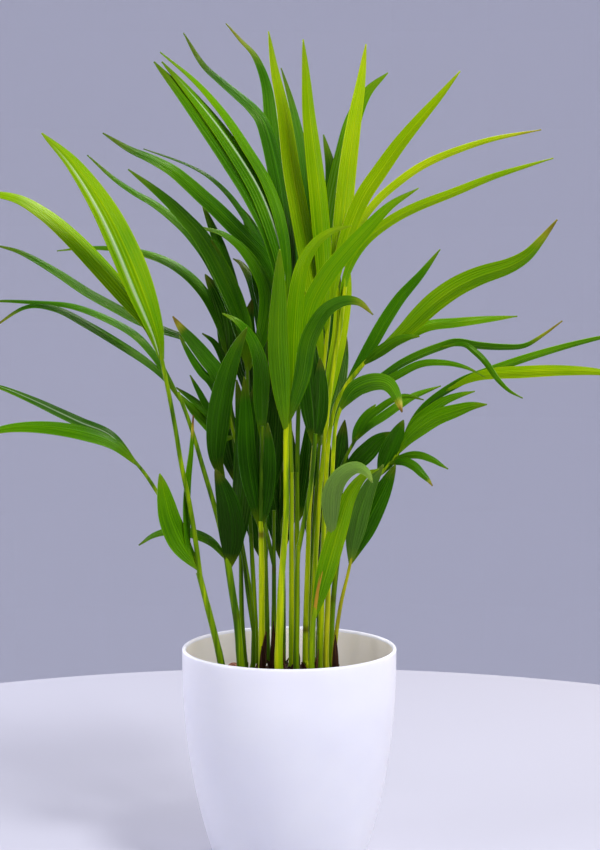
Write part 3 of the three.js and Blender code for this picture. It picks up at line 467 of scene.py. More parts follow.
def medium_height(x, y):
    """The top of the medium is a low dome."""
    share = min(1.0, math.hypot(x, y) / nursery_inside(MEDIUM["edge_height"]))
    return MEDIUM["edge_height"] + (MEDIUM["crown_height"] - MEDIUM["edge_height"]) * (1 - share * share)


def lobe_share(share):
    """A lobe is narrow at its root, widest a little before its middle and drawn out to a long point."""
    rise = 0.16 + 0.84 * np.sin(np.pi / 2 * np.minimum(share, 0.4) / 0.4)
    fall = np.cos(np.pi / 2 * np.clip((share - 0.4) / 0.6, 0, 1)) ** 0.7
    return np.where(share < 0.4, rise, fall)


# Wires, and the trees that grow the solids from them


class Wire:
    """Lines in space with values at their points: what a Geometry Nodes tree grows stalks or lobes from."""

    def __init__(self):
        self.points, self.edges, self.values = [], [], {}

    def add_line(self, points, **values):
        first = sum(len(p) for p in self.points)
        along = np.gradient(points, axis=0)
        along /= np.linalg.norm(along, axis=1)[:, None]
        self.points.append(points * MM)
        self.edges += [(first + i, first + i + 1) for i in range(len(points) - 1)]
        for name, value in {"along": along, "share": np.linspace(0, 1, len(points)), **values}.items():
            whole = np.broadcast_to(value, along.shape if np.ndim(value) == 2 else (len(points),))
            self.values.setdefault(name, []).append(whole)

    def mesh(self, name):
        mesh = bpy.data.meshes.new(name)
        mesh.from_pydata(np.vstack(self.points).tolist(), self.edges, [])
        for key, parts in self.values.items():
            whole = np.concatenate(parts).astype(np.float32)
            vector = whole.ndim == 2
            made = mesh.attributes.new(key, "FLOAT_VECTOR" if vector else "FLOAT", "POINT")
            made.data.foreach_set("vector" if vector else "value", whole.ravel())
        return mesh


def linked(name, data):
    """An object of the scene with this data, at the origin."""
    holder = bpy.data.objects.new(name, data)
    bpy.context.scene.collection.objects.link(holder)
    return holder


def grown(name, wire, tree, **sizes):
    """Grows a wire with a Geometry Nodes tree and keeps the result as a plain mesh object."""
    seedling = linked(name + "_wire", wire)
    modifier = seedling.modifiers.new("growth", "NODES")
    modifier.node_group = tree
    sockets = {item.name: item.identifier for item in tree.interface.items_tree if item.in_out == "INPUT"}
    for key, value in sizes.items():
        modifier[sockets[key.replace("_", " ")]] = value
    bpy.context.view_layer.update()
    shaped = seedling.evaluated_get(bpy.context.evaluated_depsgraph_get())
    mesh = bpy.data.meshes.new_from_object(shaped)
    bpy.data.objects.remove(seedling)
    mesh.materials.clear()
    mesh.materials.append(sizes["Material"])
    mesh.polygons.foreach_set("material_index", [0] * len(mesh.polygons))
    mesh.name = name
    return linked(name, mesh)


def new_tree(name, sizes):
    """A Geometry Nodes tree with named inputs: its sizes, in metres unless they are counts or shares."""
    tree = bpy.data.node_groups.new(name, "GeometryNodeTree")
    tree.interface.new_socket("Wire", in_out="INPUT", socket_type="NodeSocketGeometry")
    tree.interface.new_socket("Material", in_out="INPUT", socket_type="NodeSocketMaterial")
    for key, value in sizes.items():
        kind = "NodeSocketInt" if isinstance(value, int) else "NodeSocketFloat"
        tree.interface.new_socket(key, in_out="INPUT", socket_type=kind).default_value = value
    tree.interface.new_socket("Grown", in_out="OUTPUT", socket_type="NodeSocketGeometry")
    add = partial(add_node, tree)
    return tree, add, add("NodeGroupInput").outputs


def end_tree(add, geometry, material):
    """Ends a tree with real geometry in its one material."""
    real = add("RealizeInstances", geometry)
    add("NodeGroupOutput", add("SetMaterial", real, Material=material))


def swept(add, wire, profile, **settings):
    """A profile swept along a wire, which keeps each point's place and the values at the wire's points."""
    line = add("MeshToCurve", wire)
    placed = add("StoreNamedAttribute", line, Name="place", Value=add("InputPosition"),
                 data_type="FLOAT_VECTOR")
    return add("CurveToMesh", placed, Profile_Curve=profile, **settings)


def growth_frame(add):
    """The upper face and the side of a wire at each point, from the light, the wire's run and its turn."""
    along = add("InputNamedAttribute", "along", data_type="FLOAT_VECTOR")
    lean = add("VectorMath DOT_PRODUCT", LIGHT_SIDE, along)
    part = add("VectorMath SCALE", along, Scale=lean)
    upright = add("VectorMath SUBTRACT", LIGHT_SIDE, part)
    face = add("VectorRotate", add("VectorMath NORMALIZE", upright), Axis=along,
               Angle=add("InputNamedAttribute", "turn"), rotation_type="AXIS_ANGLE")
    return face, add("VectorMath CROSS_PRODUCT", along, face)


def set_out(add, geometry, side, aside, face, above):
    """Moves each point from its place on the wire, by a distance to the side and one to the upper face."""
    moved = add("VectorMath ADD", add("VectorMath SCALE", side, Scale=aside),
                add("VectorMath SCALE", face, Scale=above))
    place = add("InputNamedAttribute", "place", data_type="FLOAT_VECTOR")
    return add("SetPosition", geometry, Position=add("VectorMath ADD", place, moved))


def charted(add, geometry, along, across):
    """Stores where each point lies along and across as the piece's UV map."""
    return add("StoreNamedAttribute", geometry, Name="UVMap", data_type="FLOAT2", domain="CORNER",
               Value=add("CombineXYZ", along, across))


def lobe_tree():
    """Grows each wire into a lobe: a thin closed blade, folded along its midrib and pleated by its veins."""
    tree, add, given = new_tree("leaf lobes", {
        "Thickness": LEAF_THICKNESS * MM, "Fold": 0.22, "Pleats": 4.0, "Pleat Depth": 0.00022,
        "Ruffle": 0.0008, "Across": 25, "Seed": 0.0,
    })
    rule = add("CurvePrimitiveLine", Start=(-0.001, 0, 0), End=(0.001, 0, 0))
    even = add("ResampleCurve", rule, Count=given["Across"])
    spread = add("Math MULTIPLY_ADD", add("SplineParameter"), 2.0, -1.0)
    strip = swept(add, given["Wire"], add("StoreNamedAttribute", even, Name="across", Value=spread))

    # Each point of the strip goes to its place across the lobe, then down the fold and into its pleat.
    face, side = growth_frame(add)
    across, half, share = (add("InputNamedAttribute", name)
                           for name in ("across", "half_width", "share"))
    reach = add("Math MULTIPLY", across, half)
    out = add("Math ABSOLUTE", reach)
    slope = add("Math MULTIPLY", given["Fold"], -1.0)
    phase = add("Math MULTIPLY", add("Math ABSOLUTE", across),
                add("Math MULTIPLY", given["Pleats"], FULL_TURN))
    wave = add("Math MULTIPLY", add("Math COSINE", phase), given["Pleat Depth"])
    broad = add("MapRange", half, From_Max=0.006)
    pleat = add("Math MULTIPLY", wave, broad)
    sway = add("TexNoise", add("CombineXYZ", share, across, given["Seed"]), Scale=2.2,
               Detail=1.0)
    edge = add("Math MULTIPLY", add("Math SUBTRACT", sway, 0.5),
               add("Math MULTIPLY", given["Ruffle"], broad))
    lift = add("Math MULTIPLY_ADD", out, slope, add("Math ADD", pleat, edge))
    blade = set_out(add, strip, side, reach, face, lift)
    mapped = charted(add, blade, share, add("Math MULTIPLY_ADD", across, 0.5, 0.5))

    # Its upper side is turned to the light, and it is given its thickness as a closed skin.
    facing = add("VectorMath DOT_PRODUCT", add("InputNormal"), face)
    upper = add("FlipFaces", mapped, add("Compare LESS_THAN", facing, 0.0))
    sunk = add("Math MULTIPLY", given["Thickness"], -0.5)
    lowered = add("SetPosition", upper, Offset=add("VectorMath SCALE", face, Scale=sunk))
    raised = add("ExtrudeMesh", lowered, Offset=face, Offset_Scale=given["Thickness"],
                 Individual=False)
    under = add("StoreNamedAttribute", add("FlipFaces", lowered), Name="under", Value=1.0,
                domain="FACE")
    both = add("JoinGeometry", [under, raised])
    whole = add("MergeByDistance", both, Distance=WELD * MM)
    end_tree(add, add("SetShadeSmooth", whole), given["Material"])
    return tree


def stalk_tree():
    """Grows each wire into a round stalk. A leaf stalk has a shallow channel on the side to the light."""
    tree, add, given = new_tree("stalks", {"Around": 16, "Channel": 0.25})
    ring = add("CurvePrimitiveCircle", Resolution=given["Around"], Radius=0.001)
    turn = add("Math DIVIDE", add("InputIndex"), given["Around"])
    profile = add("StoreNamedAttribute", ring, Name="around", Value=turn)
    tube = swept(add, given["Wire"], profile, Fill_Caps=True)
    face, side = growth_frame(add)
    around, half, channel, share = (add("InputNamedAttribute", name)
                                    for name in ("around", "half_width", "channel", "share"))
    angle = add("Math MULTIPLY", around, FULL_TURN)
    up = add("Math SINE", angle)
    over = add("Math COSINE", angle)
    crest = add("Math POWER", add("Math MAXIMUM", up, 0.0), 6.0)
    sunk = add("Math MULTIPLY", add("Math MULTIPLY", crest, channel), given["Channel"])
    radius = add("Math MULTIPLY", half, add("Math SUBTRACT", 1.0, sunk))
    bark = set_out(add, tube, side, add("Math MULTIPLY", over, radius), face,
                   add("Math MULTIPLY", up, radius))
    mapped = charted(add, add("FlipFaces", bark), share, around)
    end_tree(add, add("SetShadeSmooth", mapped), given["Material"])
    return tree


# Materials


def new_material(name):
    """A material of one shader, and the function that adds its nodes."""
    material = bpy.data.materials.new(name)
    material.use_nodes = True
    return material, partial(add_node, material.node_tree)


def finished(material, colour, relief=(), layers=(), **skin):
    """Gives a material its colour, its relief and its shader's values. Relief is a height with a strength and
    a depth in metres. Layers are shares and hex colours that go over the first colour in turn."""
    tree = material.node_tree
    for share, code in layers:
        colour = add_node(tree, "Mix", share, A=colour, B=code, data_type="RGBA")
    if relief:
        height, strength, depth = relief
        skin["Normal"] = add_node(tree, "Bump", Height=height, Strength=strength, Distance=depth)
    set_inputs(tree, tree.nodes["Principled BSDF"], {"Base Color": colour, **skin})
    return material


def drawn_out(add, space, scale, detail):
    """Noise that is drawn out into fibres, with its scale along each axis."""
    return add("TexNoise", add("Mapping", space, Scale=scale), Scale=1.0, Detail=detail)


def chart(add):
    """Where a point lies along and across its lobe or sheath, from 0 to 1."""
    parts = add("SeparateXYZ", add("UVMap", uv_map="UVMap")).outputs
    return parts["X"], parts["Y"]


def living_palm_leaf():
    """Living areca palm leaf. The waxy skin gives a soft gloss over fine parallel veins, and the thin blade
    glows a little where light comes through. Veins are about 0.4 mm apart in a real lobe and are drawn about
    1 mm apart."""
    material, add = new_material("living palm leaf")
    space = add("TexCoord").outputs["Object"]
    share, across = chart(add)
    tone, seed, wax_line, dry, under, bloom = (
        add("Attribute", attribute_name=name).outputs["Fac"]
        for name in ("tone", "seed", "wax_line", "dry", "under", "bloom"))

    # Veins: streaks that run the length of the lobe, and a regular set of stronger ribs.
    stretched = [add("Math MULTIPLY", value, times)
                 for value, times in ((share, 1.6), (across, 26.0), (seed, 37.0))]
    streaks = add("TexNoise", add("CombineXYZ", *stretched), Scale=1.0, Detail=3.0)
    ribs = add("Math COSINE", add("Math MULTIPLY", across, 8 * FULL_TURN))
    fine = add("Math POWER", add("Math MAXIMUM", ribs, 0.0), 3.0)
    patches = add("TexNoise", space, Scale=16.0, Detail=2.0)
    varied = add("Math ADD", add("Math MULTIPLY_ADD", streaks, 0.34, -0.17),
                 add("Math MULTIPLY_ADD", patches, 0.4, -0.2))
    veined = add("Math MULTIPLY_ADD", fine, 0.02, varied)

    # The midrib and the rims are a tone lighter, and the tone rises from painted shade at the root to the
    # tip.
    middle = add("Math ABSOLUTE", add("Math SUBTRACT", across, 0.5))
    rib = add("MapRange", middle, From_Min=0.012, From_Max=0.04, To_Min=0.06, To_Max=0.0)
    rim = add("MapRange", middle, From_Min=0.45, From_Max=0.5, To_Min=0.0, To_Max=0.12)
    sunlit = add("MapRange", share, From_Max=0.7, To_Min=-0.09, To_Max=0.03)
    raised = add("Math ADD", veined, add("Math ADD", rib, rim))
    shade = add("Math ADD", tone, add("Math ADD", raised, sunlit), use_clamp=True)
    green = add("ValToRGB", shade, stops=((0.0, "#082000"), (0.2, "#123800"), (0.4, "#2C6000"),
                                                    (0.6, "#558800"), (0.8, "#84A400"), (1.0, "#B4C208")))

    # The root is yellower. A painted highlight, a pale line for light caught on a fold, runs along a few
    # lobes, broken here and there. A dried tip goes from straw to brown, and the underside has a pale bloom.
    root = add("MapRange", share, From_Max=0.16, To_Min=0.4, To_Max=0.0)
    beside = add("Math ABSOLUTE", add("Math SUBTRACT", across, wax_line))
    narrow = add("MapRange", beside, From_Min=0.02, From_Max=0.07, To_Min=1.0, To_Max=0.0)
    stop = add("MapRange", share, From_Min=0.8, From_Max=0.95, To_Min=0.75, To_Max=0.0)
    painted_glint = add("Math MULTIPLY", narrow, add("Math MULTIPLY", stop, streaks), use_clamp=True)
    ragged = add("Math MULTIPLY_ADD", streaks, 0.08, share)
    straw, brown = (add("Math MULTIPLY", add("MapRange", ragged, From_Min=start, From_Max=end),
                        dry) for start, end in ((0.88, 0.97), (0.95, 1.0)))
    pale = add("Math MULTIPLY_ADD", under, 0.14, bloom)
    layers = ((root, "#7C9404"), (painted_glint, "#E4F2D2"), (straw, "#B8A332"), (brown, "#5E3514"), (pale, "#8A9C5C"))
    relief = add("Math MULTIPLY_ADD", streaks, 1.2, fine)
    gloss = add("MapRange", streaks, From_Min=0.3, From_Max=0.7, To_Min=0.2, To_Max=0.32)
    return finished(material, green, (relief, 0.35, 0.00035), layers, Roughness=gloss, IOR=1.45,
                    Subsurface_Weight=0.08, Subsurface_Radius=(0.35, 1.0, 0.12), Subsurface_Scale=0.0012,
                    Specular_IOR_Level=0.2, Specular_Tint="#D8F08A")


def green_leaf_sheath():
    """Living sheath and leaf stalk of an areca palm: smooth and waxy with fine lengthwise fibres, and brown
    and corky in the rings where an older sheath has come away. Its green is painted light and shade: yellow
    green where it stands for sun and dark green for shade, by the stalk's tone and by long bands along it."""
    material, add = new_material("green leaf sheath")
    space = add("TexCoord").outputs["Object"]
    tone, ring, rust = (add("Attribute", attribute_name=name).outputs["Fac"]
                        for name in ("tone", "ring", "rust"))
    fibres = drawn_out(add, space, (1400.0, 1400.0, 26.0), 2.0)
    # Painted light and shade: long lighter and darker bands along the stalk.
    patches = drawn_out(add, space, (330.0, 330.0, 9.0), 2.0)
    varied = add("Math ADD", add("Math MULTIPLY_ADD", fibres, 0.3, -0.15),
                 add("Math MULTIPLY_ADD", patches, 1.2, -0.62))
    shade = add("Math ADD", tone, varied, use_clamp=True)
    green = add("ValToRGB", shade, stops=((0.0, "#123002"), (0.35, "#345A00"), (0.6, "#608200"),
                                                    (0.8, "#88A200"), (1.0, "#B2BE06")))
    cork = add("Math MULTIPLY", ring, 0.9)
    return finished(material, green, (fibres, 0.3, 0.0003), ((cork, "#3E1E08"), (rust, "#A8662A")),
                    Roughness=0.38, IOR=1.45, Specular_IOR_Level=0.3, Specular_Tint="#ECF09A",
                    Subsurface_Weight=0.1, Subsurface_Radius=(0.5, 1.0, 0.15), Subsurface_Scale=0.0015)


def dried_sheath():
    """Dead papery sheath: matt, dark brown and streaked along its fibres."""
    material, add = new_material("dried leaf sheath")
    along, across = chart(add)
    seed = add("Attribute", attribute_name="seed").outputs["Fac"]
    stretched = add("CombineXYZ", add("Math MULTIPLY", along, 2.0),
                    add("Math MULTIPLY", across, 22.0), seed)
    fibres = add("TexNoise", stretched, Scale=1.0, Detail=3.0)
    colour = add("ValToRGB", fibres, stops=((0.25, "#0E0503"), (0.5, "#2A1208"), (0.75, "#66401E")))
    return finished(material, colour, (fibres, 0.7, 0.0006), Roughness=0.78, Specular_IOR_Level=0.15)


def moulded_polypropylene():
    """White injection-moulded polypropylene: an even, faintly waxy white with a soft gloss and hardly any
    relief. The inner wall, unpolished in the mould, is duller, and its creamier white is painted warm light
    reflected onto it from the plant."""
    material, add = new_material("moulded polypropylene")
    space = add("TexCoord").outputs["Object"]
    inner = add("Attribute", attribute_name="inner").outputs["Fac"]
    cloud = add("TexNoise", space, Scale=18.0, Detail=2.0)
    white = add("ValToRGB", cloud, stops=((0.3, "#E4E3F3"), (0.7, "#EBEAF7")))
    grain = add("TexNoise", space, Scale=900.0, Detail=2.0)
    gloss = add("MapRange", inner, To_Min=0.36, To_Max=0.55)
    # The inner wall's cream is painted warm reflected light.
    return finished(material, white, (grain, 0.06, 0.0002), [(inner, "#F1E9DD")], Roughness=gloss, IOR=1.49,
                    Subsurface_Weight=0.7, Subsurface_Radius=(1.0, 0.95, 0.88), Subsurface_Scale=0.008)


def vacuum_formed_polystyrene():
    """Thin black recycled plastic of a nursery pot: dull, and dusty with the medium."""
    material, add = new_material("vacuum formed polystyrene")
    space = add("TexCoord").outputs["Object"]
    dust = add("TexNoise", space, Scale=120.0, Detail=5.0)
    colour = add("ValToRGB", dust, stops=((0.45, "#141416"), (0.72, "#3A322C")))
    return finished(material, colour, (dust, 0.15, 0.0003), Roughness=0.58)


def damp_potting_mix():
    """Damp coir and peat: near black, matt, and reddish where fibres show. Grains of 1 to 3 mm."""
    material, add = new_material("damp potting mix")
    space = add("TexCoord").outputs["Object"]
    grains = add("TexNoise", space, Scale=420.0, Detail=4.0)
    clods = add("TexVoronoi", space, Scale=300.0)
    shade = add("Math MULTIPLY", grains, clods)
    colour = add("ValToRGB", shade, stops=((0.05, "#120804"), (0.25, "#28140A"), (0.45, "#4A2A16")))
    return finished(material, colour, (shade, 0.8, 0.0012), Roughness=0.9)


def composted_bark():
    """Composted pine bark and coir chips: dry at the top of the pot, so a paler red brown than the mix."""
    material, add = new_material("composted bark")
    space = add("TexCoord").outputs["Object"]
    grain = add("TexNoise", space, Scale=260.0, Detail=4.0)
    colour = add("ValToRGB", grain, stops=((0.3, "#1C0D06"), (0.5, "#3E2212"), (0.7, "#6B4226")))
    return finished(material, colour, (grain, 0.6, 0.0008), Roughness=0.85)


def fibrous_husk():
    """Husk of a palm seed: matt pinkish brown fibres that run from end to end, about 1 mm apart."""
    material, add = new_material("fibrous seed husk")
    space = add("TexCoord").outputs["Object"]
    fibres = drawn_out(add, space, (900.0, 900.0, 120.0), 3.0)
    colour = add("ValToRGB", fibres, stops=((0.3, "#6B3A28"), (0.55, "#A8705A"), (0.8, "#C79A80")))
    return finished(material, colour, (fibres, 0.8, 0.0008), Roughness=0.85)


# The leafy stems


def settled(piece, slot, *nodes):
    """Puts a finished piece on the part's one body, in place of the plain solids that it stands for."""
    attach(piece, "root")
    if nodes:
        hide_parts(*nodes)


def joined(name, pieces):
    """One mesh of several, with their materials kept."""
    with bpy.context.temp_override(active_object=pieces[0], object=pieces[0], selected_objects=pieces,
                                   selected_editable_objects=pieces):
        bpy.ops.object.join()
    pieces[0].name = pieces[0].data.name = name
    return pieces[0]


def sheath_steps(share, rng):
    """The swell of a sheathed stem over its length: each sheath ends in a small step."""
    swell = np.ones_like(share)
    for at in (rng.uniform(0.42, 0.56), rng.uniform(0.74, 0.9)):
        swell *= 1 - 0.07 / (1 + np.exp(-(share - at) * 120))
    return swell


def sheathed_stem(wire, number, foot, stalk, rng):
    """The stem itself: rooted in the medium, stepped where its sheaths end, brown at its rings and foot."""
    run, depth, root_radius, end_radius, tone = stalk
    top = medium_height(*foot)
    rooted = [[*foot, top - ROOT_DEPTH], [*foot, top + 4]]
    risen = run_in_space(np.reshape(run, (-1, 2)), foot[1], depth)
    points = smooth_path(np.vstack([rooted, risen]), STALK_SPACING)
    share = np.linspace(0, 1, len(points))
    half = (root_radius + (end_radius - root_radius) * share) * sheath_steps(share, rng) * MM
    low = np.clip((BROWN_TOP - points[:, 2]) / BROWN_LENGTH, 0, 1)
    at, dark = SHEATH_RINGS.get(number, (0, 0))
    ring = np.maximum(dark * np.exp(-((points[:, 2] - at) / RING_WIDTH) ** 2), 0.6 * low**3)
    # The tone is painted light and shade, and it is a little darker towards the foot.
    wire.add_line(points, half_width=half, turn=0.0, tone=tone - 0.1 * low, channel=0.0, ring=ring,
                  rust=RUSTY_STALKS.get((number, 0), 0.0))
    return in_view(points)


def leafy_stem(number, stem, trees, finishes):
    """One plant: its stem and stalks from one wire, and its leaf lobes from another."""
    name = f"leafy_stem_{number:02d}"
    rng = np.random.default_rng(STEM_SEED + number)
    stalk_wire, lobe_wire = Wire(), Wire()
    laid = [sheathed_stem(stalk_wire, number, stem["foot"], stem["stalks"][0], rng)]
    for i, (run, depth, root_radius, end_radius, tone) in enumerate(stem["stalks"][1:], 1):
        points = smooth_path(springing(np.reshape(run, (-1, 2)), depth, np.vstack(laid)), STALK_SPACING)
        laid.append(in_view(points))
        half = (root_radius + (end_radius - root_radius) * np.linspace(0, 1, len(points))) * MM
        stalk_wire.add_line(points, half_width=half, turn=0.0, tone=tone, channel=1.0, ring=0.0,
                            rust=RUSTY_STALKS.get((number, i), 0.0))
    for i, (run, depth, width, root_turn, tip_turn, tone) in enumerate(stem["lobes"]):
        points = smooth_path(springing(np.reshape(run, (-1, 2)), depth, np.vstack(laid)), LOBE_SPACING)
        laid.append(in_view(points))
        share = np.linspace(0, 1, len(points))
        half = np.maximum(TIP_HALF_WIDTH, width / 2 * lobe_share(share)) * MM
        turn = np.radians(root_turn + (tip_turn - root_turn) * share)
        # The pale line set on a lobe here is a painted highlight.
        lobe_wire.add_line(points, half_width=half, turn=turn, tone=tone, dry=DRY_TIPS.get((number, i), 0.08),
                           bloom=PALE_LOBES.get((number, i), 0.0), wax_line=PAINTED_GLINT_LINES.get((number, i), -1.0),
                           seed=rng.random())
    stalks = grown(name + "_stalks", stalk_wire.mesh("stalk wire"), trees["stalks"],
                   Material=finishes["sheath"])
    lobes = grown(name + "_lobes", lobe_wire.mesh("lobe wire"), trees["lobes"], Material=finishes["leaf"],
                  Seed=float(number))
    settled(joined(f"palm_{number:02d}", [stalks, lobes]), "leaf", name)


def dead_sheaths(trees, finishes):
    """The withered sheaths of the first leaves: short brown straps that stand round the feet of the stems."""
    rng = np.random.default_rng(SHEATH_SEED)
    wire = Wire()
    for number, stem in enumerate(LEAFY_STEMS, 1):
        x, y = stem["foot"]
        tall = TALL_SHEATHS.get(number, 0)
        for i in range(3 + tall):
            around = rng.uniform(0, FULL_TURN)
            height = rng.uniform(24, 38) if i < tall else rng.uniform(6, 12)
            out = np.array([math.cos(around), math.sin(around)])
            radius = stem["stalks"][0][2]
            base = medium_height(x, y) - 3
            knots = np.array([[x + out[0] * r, y + out[1] * r, base + h] for r, h in (
                (radius * 1.1, 0), (radius * 1.15, height * 0.35), (radius * 1.5, height * 0.7),
                (radius * rng.uniform(1.5, 2.3), height))])
            points = smooth_path(knots, STALK_SPACING)
            share = np.linspace(0, 1, len(points))
            half = np.maximum(0.3, rng.uniform(1.6, 3.2) * (1 - share**3)) * MM
            wire.add_line(points, half_width=half, turn=math.atan2(out[0], -out[1]), tone=0.5, dry=1.0,
                          seed=rng.random())
    piece = grown("dead_sheaths", wire.mesh("sheath wire"), trees["lobes"], Material=finishes["dead"],
                  Across=9, Fold=0.5, Pleats=1.0, Ruffle=0.002, Thickness=0.0005)
    settled(piece, "medium")


# Turned pieces


def turned(name, outline, sides, finish, **marks_along):
    """Turns an outline that starts and ends on the axis. Marks are values to store for each of its points."""
    rows = outline[1:-1]
    angles = np.linspace(0, FULL_TURN, sides, endpoint=False)
    points = [(0.0, 0.0, outline[0][1] * MM)]
    points += [(r * math.cos(a) * MM, r * math.sin(a) * MM, z * MM) for r, z in rows for a in angles]
    points.append((0.0, 0.0, outline[-1][1] * MM))
    top = 1 + (len(rows) - 1) * sides
    faces = []
    for j in range(sides):
        k = (j + 1) % sides
        faces.append((0, 1 + k, 1 + j))
        faces += [(low + j, low + k, low + sides + k, low + sides + j) for low in range(1, top, sides)]
        faces.append((top + j, top + k, len(points) - 1))
    mesh = bpy.data.meshes.new(name)
    mesh.from_pydata(points, [], faces)
    mesh.shade_smooth()
    mesh.materials.append(finish)
    for key, values in marks_along.items():
        made = mesh.attributes.new(key, "FLOAT", "POINT")
        spread = [values[0], *np.repeat(values[1:-1], sides), values[-1]]
        made.data.foreach_set("value", np.array(spread, np.float32))
    return linked(name, mesh)


def cover_pot_radius(z):
    height, rim = COVER_POT["height"], COVER_POT["rim_radius"]
    return rim - COVER_POT["taper"] * ((height - z) / height) ** COVER_POT["taper_power"]


def cover_pot(finish):
    """The white pot: a rounded foot, a curved taper, a rounded lip and an even wall."""
    height, wall, floor, corner, foot, lip, bevel = (
        COVER_POT[key] for key in ("height", "wall", "floor", "corner", "foot_radius", "lip", "inner_bevel"))
    corner_top = cover_pot_radius(corner)
    outside = [(0, 0), (foot - 6, 0), (foot - 1.5, 0)]
    outside += [(foot + (corner_top - foot) * math.sin(a), corner * (1 - math.cos(a)))
                for a in np.radians(np.arange(0, 90, 7.5))]
    outside += [(cover_pot_radius(z), z) for z in np.linspace(corner, height - lip, 44)]
    middle = cover_pot_radius(height) - wall / 2
    turns = [(math.sin(a), math.cos(a)) for a in np.radians(range(15, 91, 15))]
    outside += [(middle + wall / 2 * cosine, height - lip + lip * sine) for sine, cosine in turns]
    inside = [(middle - wall / 2 * sine, height - bevel + bevel * cosine) for sine, cosine in turns]
    inside += [(cover_pot_radius(z) - wall, z) for z in np.linspace(height - bevel - 0.3, corner + 4, 40)]
    inside += [(foot + 4, floor + 1.6), (foot + 1.5, floor + 0.4), (foot - 1, floor), (0, floor)]
    is_inner = [0.0] * (len(outside) + len(turns)) + [1.0] * (len(inside) - len(turns))
    piece = turned("white_cover_pot", outside + inside, 160, finish, inner=is_inner)
    settled(piece, "white_plastic", "cover_pot")


def nursery_pot(finish):
    """The thin black pot: a straight taper with a rolled rim."""
    wall, lip_out, foot = (NURSERY_POT[key] for key in ("wall", "lip_out", "foot_radius"))
    bottom = COVER_POT["floor"] + 0.02
    top = COVER_POT["floor"] + NURSERY_POT["height"]
    lip_foot = top - NURSERY_POT["lip_height"]
    low, high, inner = nursery_outside(lip_foot), nursery_outside(top), nursery_inside(top)
    outline = [(0, bottom), (foot - 1.5, bottom), (foot - 0.4, bottom + 0.4),
               (nursery_outside(bottom + 1.6), bottom + 1.6)]
    outline += [(nursery_outside(z), z) for z in np.linspace(20, lip_foot - 0.8, 12)]
    outline += [(low, lip_foot - 0.2), (low + lip_out - 0.5, lip_foot), (low + lip_out, lip_foot + 0.5),
                (high + lip_out, top - 0.6), (high + lip_out - 0.5, top), (inner + 0.4, top),
                (inner, top - 0.5)]
    outline += [(nursery_inside(z), z) for z in np.linspace(top - 3, bottom + wall + 1, 14)]
    outline += [(foot - wall - 1, bottom + wall), (0, bottom + wall)]
    settled(turned("black_nursery_pot", outline, 128, finish), "black_plastic", "nursery_pot")


# The medium


def bark_tree():
    """Scatters bark chips over the top of the medium."""
    tree, add, given = new_tree("bark chips", {
        "Per Square Metre": 60000.0, "Smallest": 0.0006, "Largest": 0.0022, "Seed": 5})
    up = add("SeparateXYZ", add("InputNormal")).outputs["Z"]
    spots = add("DistributePointsOnFaces", given["Wire"], Seed=given["Seed"],
                Selection=add("Compare GREATER_THAN", up, 0.6), Density=given["Per Square Metre"])
    ball = add("MeshIcoSphere", Radius=1.0, Subdivisions=2)
    knocked = add("TexNoise", Scale=1.1, Detail=2.0).outputs["Color"]
    dents = add("VectorMath SUBTRACT", knocked, (0.5, 0.5, 0.5))
    lump = add("SetPosition", ball, Offset=add("VectorMath SCALE", dents, Scale=1.3))
    spin = add("RandomValue", Min=(0, 0, 0), Max=(0.9, 0.9, 6.28), Seed=given["Seed"],
               data_type="FLOAT_VECTOR")
    size = add("RandomValue", Min=given["Smallest"], Max=given["Largest"], Seed=11)
    flat = add("RandomValue", Min=(0.7, 0.5, 0.3), Max=(1.9, 1.0, 0.6), Seed=3,
               data_type="FLOAT_VECTOR")
    chips = add("InstanceOnPoints", spots, Instance=lump, Rotation=spin,
                Scale=add("VectorMath SCALE", flat, Scale=size))
    end_tree(add, chips, given["Material"])
    return tree


def growing_medium(finishes):
    """The medium's solid form with a crumbled top, under a layer of bark chips."""
    low = COVER_POT["floor"] + NURSERY_POT["wall"] + MEDIUM["gap"]
    edge = MEDIUM["edge_height"]
    reach = nursery_inside(edge) - MEDIUM["gap"]
    outline = [(0, low), (nursery_inside(low) - 0.4, low)]
    outline += [(nursery_inside(z) - MEDIUM["gap"], z) for z in np.linspace(low + 2, edge, 10)]
    outline += [(r, medium_height(r, 0)) for r in [*np.linspace(reach - 0.8, 1.0, 46), 0]]
    mix = turned("potting_mix", outline, 120, finishes["mix"])
    rng = np.random.default_rng(WAVE_SEED)
    waves = [(rng.uniform(120, 900, 2) * rng.choice([-1, 1], 2), rng.uniform(0, 6.28)) for _ in range(14)]
    for vertex in mix.data.vertices:
        x, y, z = vertex.co
        if z > (edge - 0.5) * MM and math.hypot(x, y) < (reach - 0.5) * MM:
            lift = sum(math.sin(k[0] * x + k[1] * y + phase) for k, phase in waves) / len(waves)
            vertex.co.z += lift * MEDIUM["wave"] * MM
    chips = grown("bark_chips", mix.data.copy(), bark_tree(), Material=finishes["bark"])
    settled(joined("medium_top", [mix, chips]), "medium", "growing_medium")


def seed_husk(finish):
    """The husk: a fibrous egg with shallow grooves from end to end."""
    round_side = [(math.cos(a), math.sin(a)) for a in np.radians(np.linspace(-84, 84, 25))]
    husk = turned("seed_husk", [(r / MM, z / MM) for r, z in [(0, -1), *round_side, (0, 1)]], 36, finish)
    for vertex in husk.data.vertices:
        x, y, z = vertex.co
        around = math.atan2(y, x)
        groove = 1 + 0.05 * math.sin(9 * around + 2 * z) * (1 - z * z) + 0.03 * math.sin(17 * around)
        vertex.co = [(centre + value * half * swell) * MM for centre, half, value, swell in zip(
            HUSK["centre"], HUSK["half_size"], (x, y, z), (groove, groove, 1))]
    settled(husk, "medium")


# Studio


def stage_piece(name, colour, form):
    """A matt painted piece of the stage."""
    mesh = bpy.data.meshes.new(name)
    form.to_mesh(mesh)
    form.free()
    paint, _ = new_material(f"matt {name} paint")
    mesh.materials.append(finished(paint, colour, Roughness=0.9))
    linked(name, mesh)


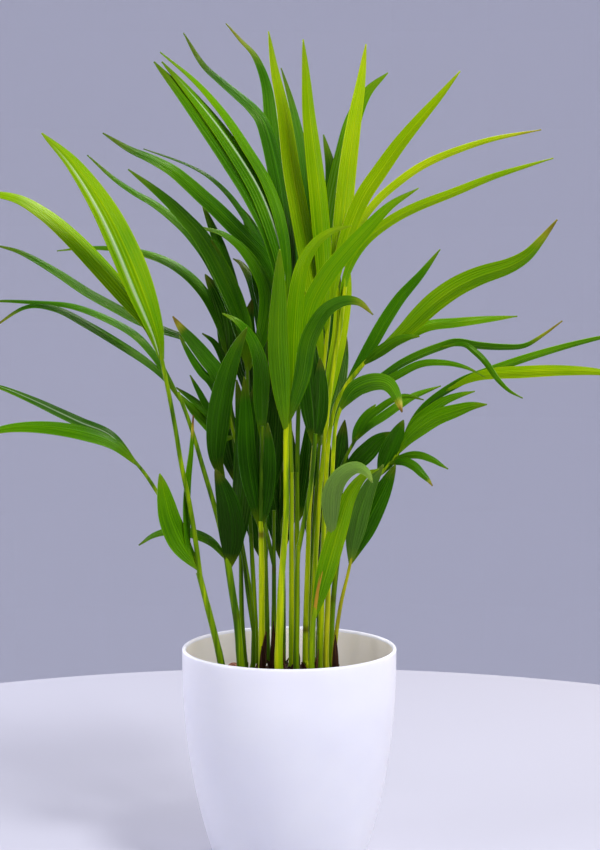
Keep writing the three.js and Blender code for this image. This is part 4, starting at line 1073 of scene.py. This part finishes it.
def studio():
    """A plain pale round floor in a plain round grey room, soft light all round, and the front camera."""
    floor = bmesh.new()
    bmesh.ops.create_circle(floor, cap_ends=True, segments=120, radius=FLOOR_RADIUS)
    stage_piece("floor", "#B6B6C2", floor)
    room = bmesh.new()
    bmesh.ops.create_uvsphere(room, u_segments=96, v_segments=48, radius=ROOM_RADIUS)
    stage_piece("room", "#DADBE8", room)
    for name, place, target, size, power, tint in LAMPS:
        lamp = bpy.data.lights.new(name, "AREA")
        lamp.size = size
        lamp.energy = power
        lamp.color = linear(tint)[:3]
        holder = linked(name, lamp)
        holder.location = place
        holder.visible_camera = False
        x, y, z = (t - p for t, p in zip(target, place))
        holder.rotation_euler = (math.atan2(math.hypot(x, y), -z), 0, math.atan2(-x, y))

    # Outside the room there is an even pale sky.
    scene = bpy.context.scene
    scene.world = bpy.data.worlds.new("sky")
    scene.world.use_nodes = True
    tree = scene.world.node_tree
    set_inputs(tree, tree.nodes["Background"], {"Color": "#C8CADC", "Strength": 0.5})
    scene.view_settings.view_transform = "Standard"

    camera = bpy.data.cameras.new("front view")
    camera.lens = SENSOR_WIDTH * FOCAL_PIXELS / FRAME_HEIGHT
    camera.sensor_width = SENSOR_WIDTH
    scene.camera = linked("front_view", camera)
    scene.camera.location = VIEWPOINT * MM
    scene.camera.rotation_euler = (math.radians(90 - CAMERA_DIP), 0, 0)


def main():
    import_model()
    finishes = {
        "leaf": living_palm_leaf(), "sheath": green_leaf_sheath(), "dead": dried_sheath(),
        "white": moulded_polypropylene(), "black": vacuum_formed_polystyrene(), "mix": damp_potting_mix(),
        "bark": composted_bark(), "husk": fibrous_husk(),
    }
    trees = {"lobes": lobe_tree(), "stalks": stalk_tree()}
    cover_pot(finishes["white"])
    nursery_pot(finishes["black"])
    growing_medium(finishes)
    seed_husk(finishes["husk"])
    for number, stem in enumerate(LEAFY_STEMS, 1):
        leafy_stem(number, stem, trees, finishes)
    dead_sheaths(trees, finishes)
    studio()


main()
